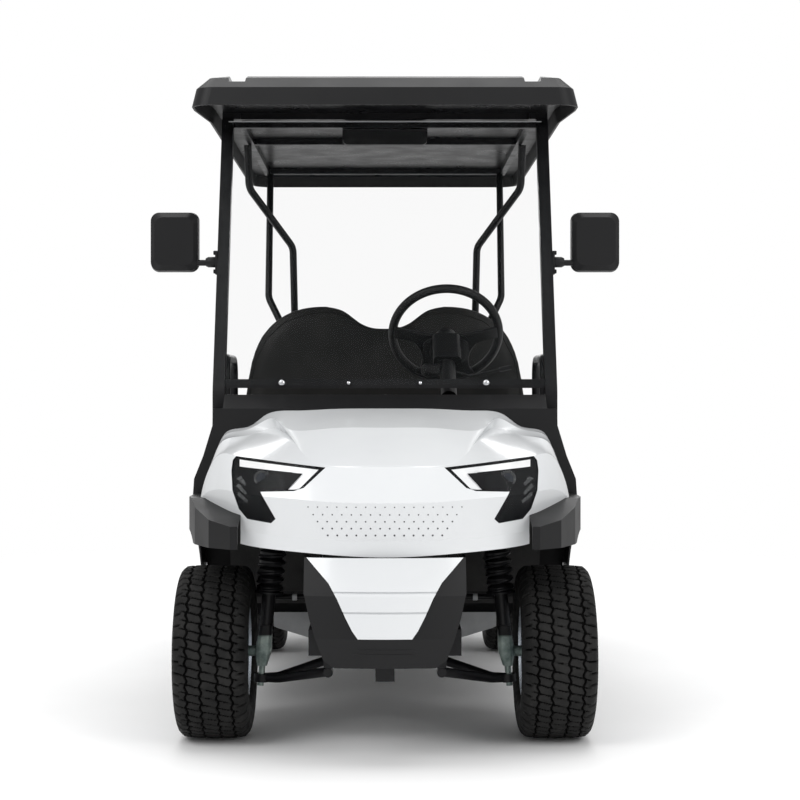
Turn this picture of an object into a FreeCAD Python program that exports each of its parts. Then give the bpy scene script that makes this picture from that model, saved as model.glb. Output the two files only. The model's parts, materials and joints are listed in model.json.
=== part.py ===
import FreeCAD, Part
import math
import os
from FreeCAD import Vector

# A four-seat golf cart: two forward seats, a rear-facing bench, a hard roof on posts.
# Millimetres. +X is the cart's left, the nose points to -Y, +Z is up, the floor is Z = 0.
# The origin lies on the floor under the middle of the cart's length and width.

# Wheels and stance
wheelbase = 1680.0
track = 946.0
tyre_diameter = 480.0
tyre_width = 205.0
rim_diameter = 254.0
rim_width = 164.0
rim_wall = 6.0
rim_flange = 11.0
rim_dish = 34.0
spoke_count = 7
spoke_web = 16.0
window_hub_radius = 46.0
window_rim_margin = 14.0
hub_cap_radius = 30.0
nose_overhang = 420.0
tail_overhang = 700.0

# Fits shared by every piece
seat_gap = 0.3
running_gap = 0.05
overrun = 20.0

# Ladder frame
frame_bottom = 260.0
rail_height = 70.0
rail_width = 50.0
rail_spacing = 360.0
cross_member = 40.0
frame_front_setback = 190.0
frame_rear_setback = 300.0
outrigger_drop = 40.0
tower_thickness = 8.0
tower_width = 60.0
tower_post = 30.0
axle_room = 12.0
tab_width = 50.0
tow_height = 41.0
tab_length = 110.0
tab_thickness = 12.0
tab_bore = 8.0

# Front suspension and steering
ball_joint_inset = 125.0
ball_joint_height = 165.0
strut_top_inset = 166.0
strut_top_height = 594.0
strut_tube_radius = 19.0
strut_rod_radius = 9.0
spring_radius = 36.0
spring_core_radius = 25.0
spring_length = 170.0
spring_coils = 7
ball_pin_radius = 9.0
stub_radius = 15.0
upright_width = 46.0
upright_depth = 60.0
steer_arm_length = 115.0
steer_arm_height = 374.0
steer_arm_thickness = 12.0
steer_arm_width = 26.0
tie_rod_radius = 8.0
rack_radius = 20.0
rack_length = 300.0
rack_foot_share = 0.42
arm_spread = 240.0
arm_tube_radius = 13.0
arm_boss_radius = 20.0
arm_boss_height = 22.0
link_gap = 6.0
arm_pivot_drop = 60.0
arm_bend = 60.0

# Rear axle, springs and drive
axle_tube_radius = 34.0
drum_radius = 92.0
drum_width = 44.0
gearbox_radius = 92.0
gearbox_width = 150.0
gearbox_offset = 60.0
motor_radius = 88.0
motor_length = 230.0
leaf_width = 44.0
leaf_thickness = 20.0
leaf_half_span = 330.0
leaf_x = 262.0
leaf_camber = 45.0
shock_radius = 22.0
shock_rod_radius = 8.0

# Floor, toe board and rocker panels
floor_half_width = 500.0
floor_thickness = 14.0
floor_front_gap = 360.0
toe_thickness = 6.0
toe_first_lean = 100.0
toe_first_height = 560.0
rocker_width = 40.0
rocker_height = 110.0
rocker_wall = 5.0
rib_count = 9
rib_depth = 4.0
rib_width = 14.0

# Front body: white cowl over black flares and a chin bumper
wheel_room = 105.0
cowl_half_width = 514.0
cowl_setback = 65.0
cowl_rear = 120.0
cowl_drop = 52.0
cowl_rise = 334.0
cowl_wall = 5.0
flare_inner = 385.0
flare_reach = 546.0
flare_wall = 5.0
flare_band = 90.0
flare_front_drop = 30.0
flare_rear_inner = 466.0
chin_bottom = 250.0
chin_half_width = 212.0
chin_bow = 34.0
chin_wall = 5.0
plate_wall = 8.0
plate_proud = 3.0
plate_bottom = 330.0
plate_groove = 5.0
lamp_recess = 1.5
lens_wall = 4.0
lamp_depth = 70.0
lamp_fit = 0.6

# Dashboard and steering column
dash_half_width = 467.0
dash_depth = 262.0
dash_height = 255.0
dash_wall = 5.0
dash_top_rise = 40.0
cheek_width = 88.0
pocket_width = 250.0
pocket_height = 95.0
pocket_depth = 130.0
pocket_x = 250.0
cup_radius = 38.0
cup_depth = 70.0
cup_spacing = 190.0
column_x = 190.0
column_hub_y = -420.0
column_hub_height = 1149.0
column_tilt = 35.0
column_radius = 24.0
column_length = 300.0
shroud_width = 84.0
shroud_height = 66.0
shroud_length = 130.0
wheel_rim_radius = 166.0
wheel_grip_radius = 14.0
wheel_grip_sides = 12
wheel_hub_radius = 34.0
wheel_hub_length = 46.0
wheel_pad_width = 150.0
wheel_pad_height = 105.0
wheel_pad_depth = 34.0
wheel_spoke_width = 36.0
wheel_spoke_thickness = 14.0
wheel_spoke_angles = (18.0, 162.0, 270.0)
shaft_radius = 10.0
pedal_width = 66.0
pedal_height = 78.0
pedal_thickness = 10.0
pedal_spacing = 130.0
pedal_arm = 14.0

# Posts, windshield and roof
post_size = 35.0
post_wall = 3.0
post_x = 485.0
post_y = -780.0
post_foot_height = 690.0
post_bend = 60.0
bar_height = 993.0
bar_size = 26.0
post_lean = 304.0
post_top_height = 1810.0
windshield_thickness = 5.0
windshield_half_width = 494.0
windshield_overlap = 12.0
roof_length = 2000.0
roof_half_width = 558.5
roof_front_y = -880.0
roof_lip_height = 1790.0
roof_corner = 70.0
roof_tip = 110.0
roof_waist = 24.0
roof_fascia = 53.0
roof_slope = 46.0
roof_crown = 16.0
roof_wall = 5.0
gutter_x = 427.0
gutter_width = 46.0
gutter_depth = 26.0
liner_thickness = 4.0
roof_rail_size = 20.0
roof_rail_x = 455.0
roof_rail_length = 1400.0
stay_radius = 12.7
stay_bend = 70.0
mid_stay_roof_y = 70.0
mid_stay_low_x = 328.0
mid_stay_low_y = 455.0
mid_stay_crank = 55.0
mid_stay_drop = 140.0
mid_stay_sweep = 110.0
mid_stay_rise = 210.0
stay_low_bend = 20.0
rear_stay_roof_y = 860.0
rear_stay_mid_x = 427.0
rear_stay_low_x = 372.0
rear_stay_low_y = 494.0
rear_stay_sweep = 30.0
rear_stay_rise = 40.0
rear_stay_sink = 70.0

# Rear body, seats and footrest
body_half_width = 530.0
body_wall = 5.0
body_front_y = -70.0
body_front_top_y = -100.0
body_rear_y = 1085.0
body_bottom = 352.0
seat_base_height = 700.0
rear_arch_room = 52.0
rear_flare_width = 52.0
rear_flare_band = 30.0
hatch_half_width = 420.0
hatch_front_margin = 50.0
hatch_length = 330.0
cushion_half_width = 500.0
cushion_thickness = 95.0
cushion_depth = 450.0
cushion_round = 34.0
seat_board = 12.0
seat_front_y = -140.0
back_half_width = 505.0
back_rise = 112.0
front_back_height = 462.0
back_thickness = 88.0
back_front_y = 330.0
rear_back_height = 368.0
rear_back_thickness = 78.0
rear_cushion_depth = 420.0
rear_cushion_thickness = 85.0
rear_cushion_front_y = 622.0
back_frame_y = 520.0
back_plate_thickness = 4.0
back_plate_drop = 60.0
back_rib = 12.0
armrest_radius = 15.0
armrest_rise = 385.0
armrest_reach = 240.0
armrest_foot = 60.0
armrest_bend = 60.0
footrest_height = 400.0
footrest_plate = 12.0
footrest_half_width = 440.0
footrest_tube = 16.0
battery_length = 300.0
battery_width = 640.0
battery_height = 250.0
tail_lamp_width = 60.0
tail_lamp_height = 150.0
tail_lamp_depth = 34.0

# Mirrors
mirror_width = 146.0
mirror_height = 180.0
mirror_depth = 42.0
mirror_x = 632.0
mirror_z = 1418.0
mirror_round = 26.0
mirror_arm_radius = 9.0
room_mirror_width = 264.0
room_mirror_height = 74.0
room_mirror_depth = 24.0

# Seat hinge and rear bench hinge
hinge_pin_radius = 5.0
hinge_length = 60.0
hinge_x = 330.0

# Derived stations
overall_length = nose_overhang + wheelbase + tail_overhang
nose_y = -overall_length / 2
tail_y = overall_length / 2
front_axle_y = nose_y + nose_overhang
rear_axle_y = front_axle_y + wheelbase
tyre_radius = tyre_diameter / 2
axle_z = tyre_radius
wheel_x = track / 2
frame_top = frame_bottom + rail_height
arch_top = tyre_diameter + wheel_room
arch_radius = tyre_radius + wheel_room
cowl_front_y = nose_y + cowl_setback
cowl_rear_y = front_axle_y + cowl_rear
cowl_low = arch_top - cowl_drop
cowl_top = arch_top + cowl_rise
cowl_depth = cowl_rear_y - cowl_front_y
cowl_height = cowl_top - cowl_low
floor_top = frame_top + seat_gap + floor_thickness
floor_front_y = front_axle_y + floor_front_gap
frame_front_y = nose_y + frame_front_setback
chin_back_y = frame_front_y - seat_gap
dash_front_y = cowl_rear_y + seat_gap
dash_top = cowl_top + dash_top_rise
post_top_y = post_y + post_lean
liner_low = post_top_height + roof_rail_size + seat_gap
shock_top = frame_top + motor_radius * 1.4
back_bottom = seat_base_height + back_rise
back_top = back_bottom + front_back_height
rear_back_top = back_bottom + rear_back_height
arm_pivot_x = rail_spacing / 2 - rail_width / 2
arm_pivot_height = frame_bottom - arm_pivot_drop
tie_rod_y = front_axle_y + steer_arm_length + steer_arm_width / 2 + tie_rod_radius * 1.5 + link_gap
ball_x = wheel_x - ball_joint_inset
front_hinge_y = body_front_top_y - hinge_pin_radius - seat_gap
rear_hinge_y = body_rear_y + hinge_pin_radius + seat_gap
strut_top_x = wheel_x - strut_top_inset


# Shape helpers
def block(x, y, z):
    return Part.makeBox(x[1] - x[0], y[1] - y[0], z[1] - z[0], Vector(x[0], y[0], z[0]))


def mirrored(shape):
    return shape.mirror(Vector(0, 0, 0), Vector(1, 0, 0))


def mirrored_point(point):
    return Vector(-point.x, point.y, point.z)


def both_sides(shape):
    return [shape, mirrored(shape)]


def closed_wire(points, radius=0.0):
    """A closed outline whose corners are rounded by radius, less where an edge is short."""
    count = len(points)
    if radius <= 0:
        return Part.makePolygon(points + [points[0]])
    corners = []
    for i in range(count):
        before = points[i - 1] - points[i]
        after = points[(i + 1) % count] - points[i]
        half_turn = before.getAngle(after) / 2
        reach = min(radius / math.tan(half_turn), 0.45 * before.Length, 0.45 * after.Length)
        before.normalize()
        after.normalize()
        start = points[i] + before * reach
        end = points[i] + after * reach
        bisector = before + after
        bisector.normalize()
        fitted = reach * math.tan(half_turn)
        middle = points[i] + bisector * (reach / math.cos(half_turn) - fitted)
        corners.append((start, middle, end))
    edges = []
    for i in range(count):
        start, middle, end = corners[i]
        edges.append(Part.Arc(start, middle, end).toShape())
        edges.append(Part.LineSegment(end, corners[(i + 1) % count][0]).toShape())
    return Part.Wire(edges)


def prism_x(points, x0, x1, radius=0.0):
    """An outline of (y, z) points drawn out along X."""
    wire = closed_wire([Vector(x0, y, z) for y, z in points], radius)
    return Part.Face(wire).extrude(Vector(x1 - x0, 0, 0))


def prism_y(points, y0, y1, radius=0.0):
    """An outline of (x, z) points drawn out along Y."""
    wire = closed_wire([Vector(x, y0, z) for x, z in points], radius)
    return Part.Face(wire).extrude(Vector(0, y1 - y0, 0))


def prism_z(points, z0, z1, radius=0.0):
    """An outline of (x, y) points drawn out along Z."""
    wire = closed_wire([Vector(x, y, z0) for x, y in points], radius)
    return Part.Face(wire).extrude(Vector(0, 0, z1 - z0))


def rectangle(x0, x1, y0, y1):
    return [(x0, y0), (x1, y0), (x1, y1), (x0, y1)]


def rod(start, end, radius):
    axis = end - start
    return Part.makeCylinder(radius, axis.Length, start, axis)


def bent_path(points, radius):
    """Straight runs joined by tangent arcs."""
    edges = []
    last = points[0]
    for i in range(1, len(points) - 1):
        before = points[i - 1] - points[i]
        after = points[i + 1] - points[i]
        half_turn = before.getAngle(after) / 2
        reach = min(radius / math.tan(half_turn), 0.45 * before.Length, 0.45 * after.Length)
        before.normalize()
        after.normalize()
        bisector = before + after
        bisector.normalize()
        fitted = reach * math.tan(half_turn)
        start = points[i] + before * reach
        end = points[i] + after * reach
        middle = points[i] + bisector * (reach / math.cos(half_turn) - fitted)
        edges.append(Part.LineSegment(last, start).toShape())
        edges.append(Part.Arc(start, middle, end).toShape())
        last = end
    edges.append(Part.LineSegment(last, points[-1]).toShape())
    return Part.Wire(edges)


def bent_rod(points, bend, radius):
    """A round bar: straight runs joined by elbows of one bend radius."""
    runs = []
    last = points[0]
    for i in range(1, len(points) - 1):
        before = points[i - 1] - points[i]
        after = points[i + 1] - points[i]
        half_turn = before.getAngle(after) / 2
        reach = min(bend / math.tan(half_turn), 0.45 * before.Length, 0.45 * after.Length)
        before.normalize()
        after.normalize()
        bisector = before + after
        bisector.normalize()
        start = points[i] + before * reach
        end = points[i] + after * reach
        centre = points[i] + bisector * (reach / math.cos(half_turn))
        ring = Part.Face(Part.Wire(Part.makeCircle(radius, start, before)))
        swing = (start - centre).cross(end - centre)
        runs.append(rod(last, start, radius))
        runs.append(ring.revolve(centre, swing, 180 - math.degrees(2 * half_turn)))
        last = end
    runs.append(rod(last, points[-1], radius))
    return fused(runs)


def turned(profile, centre, axis):
    """A solid of revolution: (radius, along) points turned about axis through centre."""
    axis = Vector(axis)
    axis.normalize()
    side = Vector(0, 0, 1) if abs(axis.z) < 0.9 else Vector(0, 1, 0)
    side = side - axis * side.dot(axis)
    side.normalize()
    points = [centre + side * r + axis * a for r, a in profile]
    face = Part.Face(Part.makePolygon(points + [points[0]]))
    return face.revolve(centre, axis, 360)


def ball(centre, radius):
    """A ball turned from a six-point section."""
    section = [(0, -1), (0.6, -0.8), (1, -0.3), (1, 0.3), (0.6, 0.8), (0, 1)]
    return turned([(r * radius, a * radius) for r, a in section], centre, Vector(0, 0, 1))


def loft(wires):
    return Part.makeLoft(wires, True, True)


def fused(shapes):
    whole = shapes[0]
    for shape in shapes[1:]:
        whole = whole.fuse(shape)
    return whole.removeSplitter()


def save(name, shapes):
    solids = []
    for shape in shapes:
        solids.extend(shape.Solids)
    whole = solids[0] if len(solids) == 1 else Part.makeCompound(solids)
    whole.exportStep(os.path.join("parts", name + ".step"))


# Wheels
# Tyre section from bead to crown: (share of the half width, share of the height over the lip)
tyre_shares = [
    (0.90, 0.08),
    (0.99, 0.30),
    (1.0, 0.50),
    (0.975, 0.72),
    (0.90, 0.88),
    (0.76, 0.96),
    (0.42, 0.99),
]


def tyre(centre):
    """A tyre with bulged side walls, round shoulders and a slightly crowned tread."""
    half = tyre_width / 2
    bead = rim_diameter / 2 + seat_gap
    lip = bead + rim_flange
    near = [(lip, rim_width / 2), (bead, rim_width / 2)]
    wall = [(lip + z * (tyre_radius - lip), x * half) for x, z in reversed(tyre_shares)]
    right = [(tyre_radius, half * 0.12)] + wall + near
    left = [(r, -x) for r, x in reversed(right)]
    return turned(right + left, centre, Vector(1, 0, 0))


def rim(centre, outward, bore_radius):
    """A cast wheel: a flanged barrel and a dished face with windows between its spokes."""
    bead = rim_diameter / 2
    half = rim_width / 2
    face_at = half - rim_dish
    barrel = turned(
        [
            (bead - rim_wall, -half),
            (bead + rim_flange, -half - rim_wall),
            (bead + rim_flange, -half - seat_gap),
            (bead, -half - seat_gap),
            (bead, half + seat_gap),
            (bead + rim_flange, half + seat_gap),
            (bead + rim_flange, half + rim_wall),
            (bead - rim_wall, half),
            (bead - rim_wall, -half + rim_wall),
        ],
        Vector(0, 0, 0),
        Vector(1, 0, 0),
    )
    disc = turned(
        [
            (bore_radius, face_at - spoke_web),
            (window_hub_radius, face_at - spoke_web),
            (bead - rim_wall / 2, face_at),
            (bead - rim_wall / 2, face_at + spoke_web),
            (window_hub_radius, face_at + spoke_web / 2),
            (bore_radius, face_at + spoke_web / 2),
        ],
        Vector(0, 0, 0),
        Vector(1, 0, 0),
    )
    inner = window_hub_radius
    outer = bead - window_rim_margin
    half_pitch = math.pi / spoke_count
    inner_angle = half_pitch - spoke_web / 2 / inner
    outer_angle = half_pitch - spoke_web / 2 / outer
    opening = [
        (inner * math.sin(-inner_angle), inner * math.cos(inner_angle)),
        (inner * math.sin(inner_angle), inner * math.cos(inner_angle)),
        (outer * math.sin(outer_angle), outer * math.cos(outer_angle)),
        (outer * math.sin(-outer_angle), outer * math.cos(outer_angle)),
    ]
    window = prism_x(opening, -half, half)
    windows = []
    for i in range(spoke_count):
        copy = window.copy()
        copy.rotate(Vector(0, 0, 0), Vector(1, 0, 0), 360.0 * i / spoke_count)
        windows.append(copy)
    disc = disc.cut(windows)
    cap = turned(
        [
            (0, face_at + spoke_web / 2),
            (hub_cap_radius, face_at + spoke_web / 2),
            (hub_cap_radius * 0.9, face_at + spoke_web),
            (0, face_at + spoke_web * 1.2),
        ],
        Vector(0, 0, 0),
        Vector(1, 0, 0),
    )
    whole = fused([barrel, disc, cap])
    if outward < 0:
        whole = mirrored(whole)
    whole.translate(centre)
    return whole


def wheel_centre(end, side):
    return Vector(side * wheel_x, front_axle_y if end == "front" else rear_axle_y, axle_z)


# Knuckles: the strut line is the steering axis of each front wheel
def strut_axis():
    """Lower ball joint and strut top of the left front corner."""
    low = Vector(ball_x, front_axle_y, ball_joint_height)
    high = Vector(strut_top_x, front_axle_y, strut_top_height)
    return low, high


def on_strut(height):
    low, high = strut_axis()
    share = (height - low.z) / (high.z - low.z)
    return low + (high - low) * share


def knuckle():
    """Upright with its stub axle, steering arm and ball pin, and the coil strut above it."""
    low, high = strut_axis()
    line = high - low
    line.normalize()
    upright_low = on_strut(ball_joint_height + arm_boss_height + arm_tube_radius)
    upright_high = on_strut(axle_z + upright_width * 1.6)
    half_w = upright_width / 2
    half_d = upright_depth / 2
    sections = []
    for place, scale in ((upright_low, 0.6), (on_strut(axle_z), 1.0), (upright_high, 0.75)):
        corners = [
            place + Vector(-half_w * scale, -half_d * scale, 0),
            place + Vector(half_w * scale, -half_d * scale, 0),
            place + Vector(half_w * scale, half_d * scale, 0),
            place + Vector(-half_w * scale, half_d * scale, 0),
        ]
        sections.append(closed_wire(corners, half_w * scale * 0.6))
    upright = loft(sections)
    pin = rod(on_strut(ball_joint_height - arm_boss_height), upright_low + line, ball_pin_radius)
    hub_face = wheel_x + rim_width / 2 - rim_dish
    stub = rod(on_strut(axle_z), Vector(hub_face, front_axle_y, axle_z), stub_radius)
    flange = rod(
        Vector(wheel_x - rim_width / 2 + rim_dish, front_axle_y, axle_z),
        Vector(wheel_x - rim_width / 2 + rim_dish + spoke_web, front_axle_y, axle_z),
        window_hub_radius,
    )
    tube_top = on_strut(strut_top_height - spring_length * 0.9)
    tube = rod(upright_high - line * half_w, tube_top, strut_tube_radius)
    arm_start = on_strut(steer_arm_height)
    arm = block(
        (arm_start.x - steer_arm_width / 2, arm_start.x + steer_arm_width / 2),
        (front_axle_y, front_axle_y + steer_arm_length),
        (steer_arm_height - steer_arm_thickness / 2, steer_arm_height + steer_arm_thickness / 2),
    )
    eye = rod(
        Vector(arm_start.x, front_axle_y + steer_arm_length, steer_arm_height - steer_arm_thickness / 2),
        Vector(arm_start.x, front_axle_y + steer_arm_length, steer_arm_height + steer_arm_thickness / 2),
        steer_arm_width / 2,
    )
    spring_low = on_strut(strut_top_height - spring_length - strut_tube_radius)
    pitch = spring_length / spring_coils
    profile = [(0, 0)]
    for i in range(spring_coils):
        profile.append((spring_core_radius, pitch * i))
        profile.append((spring_radius, pitch * (i + 0.35)))
        profile.append((spring_radius, pitch * (i + 0.65)))
    profile.append((spring_core_radius, spring_length))
    profile.append((0, spring_length))
    spring = turned(profile, spring_low, line)
    top_rod = rod(spring_low + line * spring_length, high + line * tower_thickness, strut_rod_radius)
    return fused([upright, pin, stub, flange, tube, arm, eye, spring, top_rod])


def tie_rods():
    """One rack bar with a rod end under each steering arm."""
    y = tie_rod_y
    end_x = on_strut(steer_arm_height).x
    bar = rod(Vector(-end_x, y, steer_arm_height), Vector(end_x, y, steer_arm_height), tie_rod_radius)
    ends = [ball(Vector(side * end_x, y, steer_arm_height), tie_rod_radius * 1.5) for side in (-1, 1)]
    return fused([bar] + ends)


# Frame
def rail_outer():
    return rail_spacing / 2 + rail_width / 2


def shock_head():
    return Vector(leaf_x, rear_axle_y + axle_tube_radius + 3 * shock_radius + seat_gap, shock_top)


def shock_tower():
    """Post and plate on the left rail that carry the head of the rear damper."""
    outer = rail_outer()
    head = shock_head()
    y = (head.y - tower_post, head.y + tower_post)
    plate_z = (shock_top + 2, shock_top + 2 + tower_thickness)
    post = block((outer - tower_post, outer), y, (frame_top + seat_gap, plate_z[1]))
    plate = block((outer - 1, leaf_x + shock_radius), y, plate_z)
    return fused([post, plate])


def strut_tower():
    """Post and plate on the left rail that carry the head of the front strut."""
    low, high = strut_axis()
    line = high - low
    line.normalize()
    outer = rail_outer()
    y = (front_axle_y - tower_width / 2, front_axle_y + tower_width / 2)
    post = block((outer - tower_post, outer), y, (frame_top + seat_gap, strut_top_height))
    plate = block(
        (outer - tower_post, strut_top_x + tower_width / 2),
        y,
        (strut_top_height - tower_thickness, strut_top_height),
    )
    hole = rod(high - line * tower_width, high + line * tower_width, strut_rod_radius + running_gap)
    return fused([post, plate]).cut(hole)


def rack_housing():
    """Tube that guides the tie rod, on two feet over a cross member."""
    end = Vector(rack_length / 2, tie_rod_y, steer_arm_height)
    pieces = [rod(mirrored_point(end), end, rack_radius)]
    for side in (-1, 1):
        x = side * rack_length * rack_foot_share
        pieces.append(
            block(
                (x - rack_radius, x + rack_radius),
                (tie_rod_y - rack_radius, tie_rod_y + rack_radius),
                (frame_top + seat_gap, steer_arm_height),
            )
        )
    bore = rod(
        Vector(-rack_length, tie_rod_y, steer_arm_height),
        Vector(rack_length, tie_rod_y, steer_arm_height),
        tie_rod_radius + running_gap,
    )
    return fused(pieces).cut(bore)


def end_member(y, front):
    """Front or rear cross member with its drilled towing tab."""
    inner = rail_spacing / 2 - rail_width / 2 - seat_gap
    half = tab_width / 2
    beam = block((-inner, inner), (y, y + cross_member), (frame_bottom, frame_top))
    if front:
        high = chin_bottom - seat_gap
        low = high - tow_height
        tab = block((-half, half), (y - tab_length, y + tab_thickness), (low, high))
        web = block((-half, half), (y, y + tab_thickness), (low, frame_bottom + 1))
        hole_y = y - tab_length + half
        pieces = [beam, tab, web]
    else:
        end = y + cross_member + tab_length
        tab = block((-half, half), (y, end), (frame_bottom, frame_bottom + tab_thickness))
        hole_y = end - half
        pieces = [beam, tab]
    return fused(pieces).cut(rod(Vector(0, hole_y, 0), Vector(0, hole_y, frame_top), tab_bore))


def arm_lugs():
    """Lugs under the left rail for the pivots of the front arm."""
    lugs = []
    for end in (-1, 1):
        y = front_axle_y + end * arm_spread / 2
        lugs.append(
            block(
                (arm_pivot_x - arm_tube_radius, arm_pivot_x + arm_tube_radius),
                (y - arm_boss_radius, y + arm_boss_radius),
                (arm_pivot_height + arm_tube_radius + seat_gap, frame_bottom - seat_gap),
            )
        )
    return lugs


def frame():
    """Two boxed rails with cross members, outriggers and arm lugs, each seated on the rails."""
    front = frame_front_y
    rear = tail_y - frame_rear_setback
    inner = rail_spacing / 2 - rail_width / 2
    z = (frame_bottom, frame_top)
    axle_notch = rod(
        Vector(0, rear_axle_y, axle_z),
        Vector(floor_half_width, rear_axle_y, axle_z),
        axle_tube_radius + axle_room,
    )
    rail = block((inner, rail_outer()), (front, rear), z).cut(axle_notch)
    sides = [rail] + arm_lugs()
    between = (-inner + seat_gap, inner - seat_gap)
    pieces = [end_member(front, True), end_member(rear - cross_member, False)]
    members = [front_axle_y, tie_rod_y - cross_member / 2, floor_front_y + cross_member]
    for y in members + [body_front_y + cross_member]:
        pieces.append(block(between, (y, y + cross_member), z))
    for y in (floor_front_y + 2 * cross_member + seat_gap, body_front_y - 2 * cross_member):
        outrigger_z = (frame_top - outrigger_drop, frame_top)
        sides.append(block((rail_outer() + seat_gap, floor_half_width), (y, y + cross_member), outrigger_z))
        pieces.append(block(between, (y, y + cross_member), outrigger_z))
    return pieces + sides + [mirrored(shape) for shape in sides]


def front_arms():
    """A lower wishbone each side, from two frame pivots out to the ball joint boss."""
    low, high = strut_axis()
    line = high - low
    line.normalize()
    boss = rod(low - line * arm_boss_height / 2, low + line * arm_boss_height / 2, arm_boss_radius)
    tubes = [boss]
    for side in (-1, 1):
        y = front_axle_y + side * arm_spread / 2
        pivot = Vector(arm_pivot_x, y, arm_pivot_height)
        knee = Vector(low.x - arm_boss_radius * 2.4, front_axle_y + side * arm_tube_radius, low.z)
        end = Vector(low.x - arm_boss_radius / 2, front_axle_y, low.z)
        tubes.append(bent_rod([pivot, knee, end], arm_bend, arm_tube_radius))
        tubes.append(
            rod(
                Vector(arm_pivot_x, y - arm_boss_radius, arm_pivot_height),
                Vector(arm_pivot_x, y + arm_boss_radius, arm_pivot_height),
                arm_tube_radius,
            )
        )
    arm = fused(tubes)
    reach = line * arm_boss_height
    arm = arm.cut(rod(low - reach, low + reach, ball_pin_radius + running_gap))
    return both_sides(arm)


# Rear axle
def rear_axle():
    """Axle tube with its drums, the gearbox on it and the motor behind."""
    drum_out = wheel_x - rim_width / 2 + rim_dish
    tube = rod(
        Vector(-drum_out, rear_axle_y, axle_z),
        Vector(drum_out, rear_axle_y, axle_z),
        axle_tube_radius,
    )
    pieces = [tube]
    for side in (-1, 1):
        pieces.append(
            rod(
                Vector(side * (drum_out - drum_width), rear_axle_y, axle_z),
                Vector(side * drum_out, rear_axle_y, axle_z),
                drum_radius,
            )
        )
        pieces.append(
            rod(
                Vector(side * drum_out, rear_axle_y, axle_z),
                Vector(side * (wheel_x + rim_width / 2 - rim_dish), rear_axle_y, axle_z),
                stub_radius,
            )
        )
    housing = turned(
        [
            (0, -gearbox_width / 2),
            (gearbox_radius * 0.6, -gearbox_width / 2),
            (gearbox_radius, -gearbox_width / 6),
            (gearbox_radius, gearbox_width / 6),
            (gearbox_radius * 0.6, gearbox_width / 2),
            (0, gearbox_width / 2),
        ],
        Vector(gearbox_offset, rear_axle_y, axle_z),
        Vector(1, 0, 0),
    )
    motor = rod(
        Vector(gearbox_offset, rear_axle_y + gearbox_radius * 0.7, axle_z),
        Vector(gearbox_offset, rear_axle_y + gearbox_radius * 0.7 + motor_length, axle_z),
        motor_radius,
    )
    return fused(pieces + [housing, motor])


def rear_springs():
    """A leaf spring under each end of the axle and a damper behind it."""
    low = axle_z - axle_tube_radius - seat_gap
    points = [
        Vector(0, rear_axle_y - leaf_half_span, low + leaf_camber),
        Vector(0, rear_axle_y, low),
        Vector(0, rear_axle_y + leaf_half_span, low + leaf_camber),
    ]
    down = Vector(0, 0, -leaf_thickness)
    edges = [
        Part.Arc(points[0], points[1], points[2]).toShape(),
        Part.LineSegment(points[2], points[2] + down).toShape(),
        Part.Arc(points[2] + down, points[1] + down, points[0] + down).toShape(),
        Part.LineSegment(points[0] + down, points[0]).toShape(),
    ]
    leaf = Part.Face(Part.Wire(edges)).extrude(Vector(leaf_width, 0, 0))
    leaf.translate(Vector(leaf_x - leaf_width / 2, 0, 0))
    shackles = []
    for side in (-1, 1):
        y = rear_axle_y + side * (leaf_half_span - leaf_thickness)
        shackles.append(
            block(
                (rail_outer() + seat_gap, leaf_x + leaf_width / 2),
                (y - leaf_thickness, y + leaf_thickness),
                (low + leaf_camber - leaf_thickness, frame_top),
            )
        )
    foot = Vector(leaf_x, rear_axle_y + axle_tube_radius + shock_radius + seat_gap, axle_z)
    head = shock_head()
    body_end = foot + (head - foot) * 0.55
    shock = fused([rod(foot, body_end, shock_radius), rod(body_end, head, shock_rod_radius)])
    spring = fused([leaf] + shackles)
    return both_sides(spring) + both_sides(shock)


# Floor
def floor_pan():
    """Ribbed floor with a rising toe board and hollow rocker panels along both sides."""
    low = frame_top + seat_gap
    front = floor_front_y
    rear = body_front_y - seat_gap
    t = toe_thickness
    toe_y = front - toe_first_lean
    toe_top_y = dash_front_y + dash_depth * 0.22
    toe_top = dash_top - dash_height - seat_gap
    plate = block((-floor_half_width, floor_half_width), (front, rear), (low, floor_top))
    toe = prism_x(
        [
            (front, low),
            (front + t * 1.5, floor_top),
            (toe_y + t, toe_first_height),
            (toe_top_y + t, toe_top),
            (toe_top_y, toe_top),
            (toe_y, toe_first_height),
        ],
        -dash_half_width + toe_thickness,
        dash_half_width - toe_thickness,
    )
    rocker_low = floor_top - rocker_height
    outer = floor_half_width + rocker_width
    rocker = prism_y(
        [
            (floor_half_width - 1, floor_top),
            (floor_half_width - 1, floor_top - floor_thickness),
            (outer - rocker_wall, floor_top - floor_thickness),
            (outer - rocker_wall - rocker_width * 0.15, rocker_low),
            (outer - rocker_width * 0.15, rocker_low),
            (outer, floor_top - floor_thickness),
            (outer - rocker_width * 0.25, floor_top),
        ],
        front,
        rear,
    )
    ribs = []
    span = 2 * (floor_half_width - 2 * rib_width)
    pitch = span / rib_count
    for i in range(rib_count + 1):
        x = -span / 2 + pitch * i
        ribs.append(
            block(
                (x - rib_width / 2, x + rib_width / 2),
                (front + 2 * cross_member, rear - cross_member),
                (floor_top - rib_depth, floor_top + 1),
            )
        )
    return fused([plate, toe, rocker, mirrored(rocker)]).cut(ribs)


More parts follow.
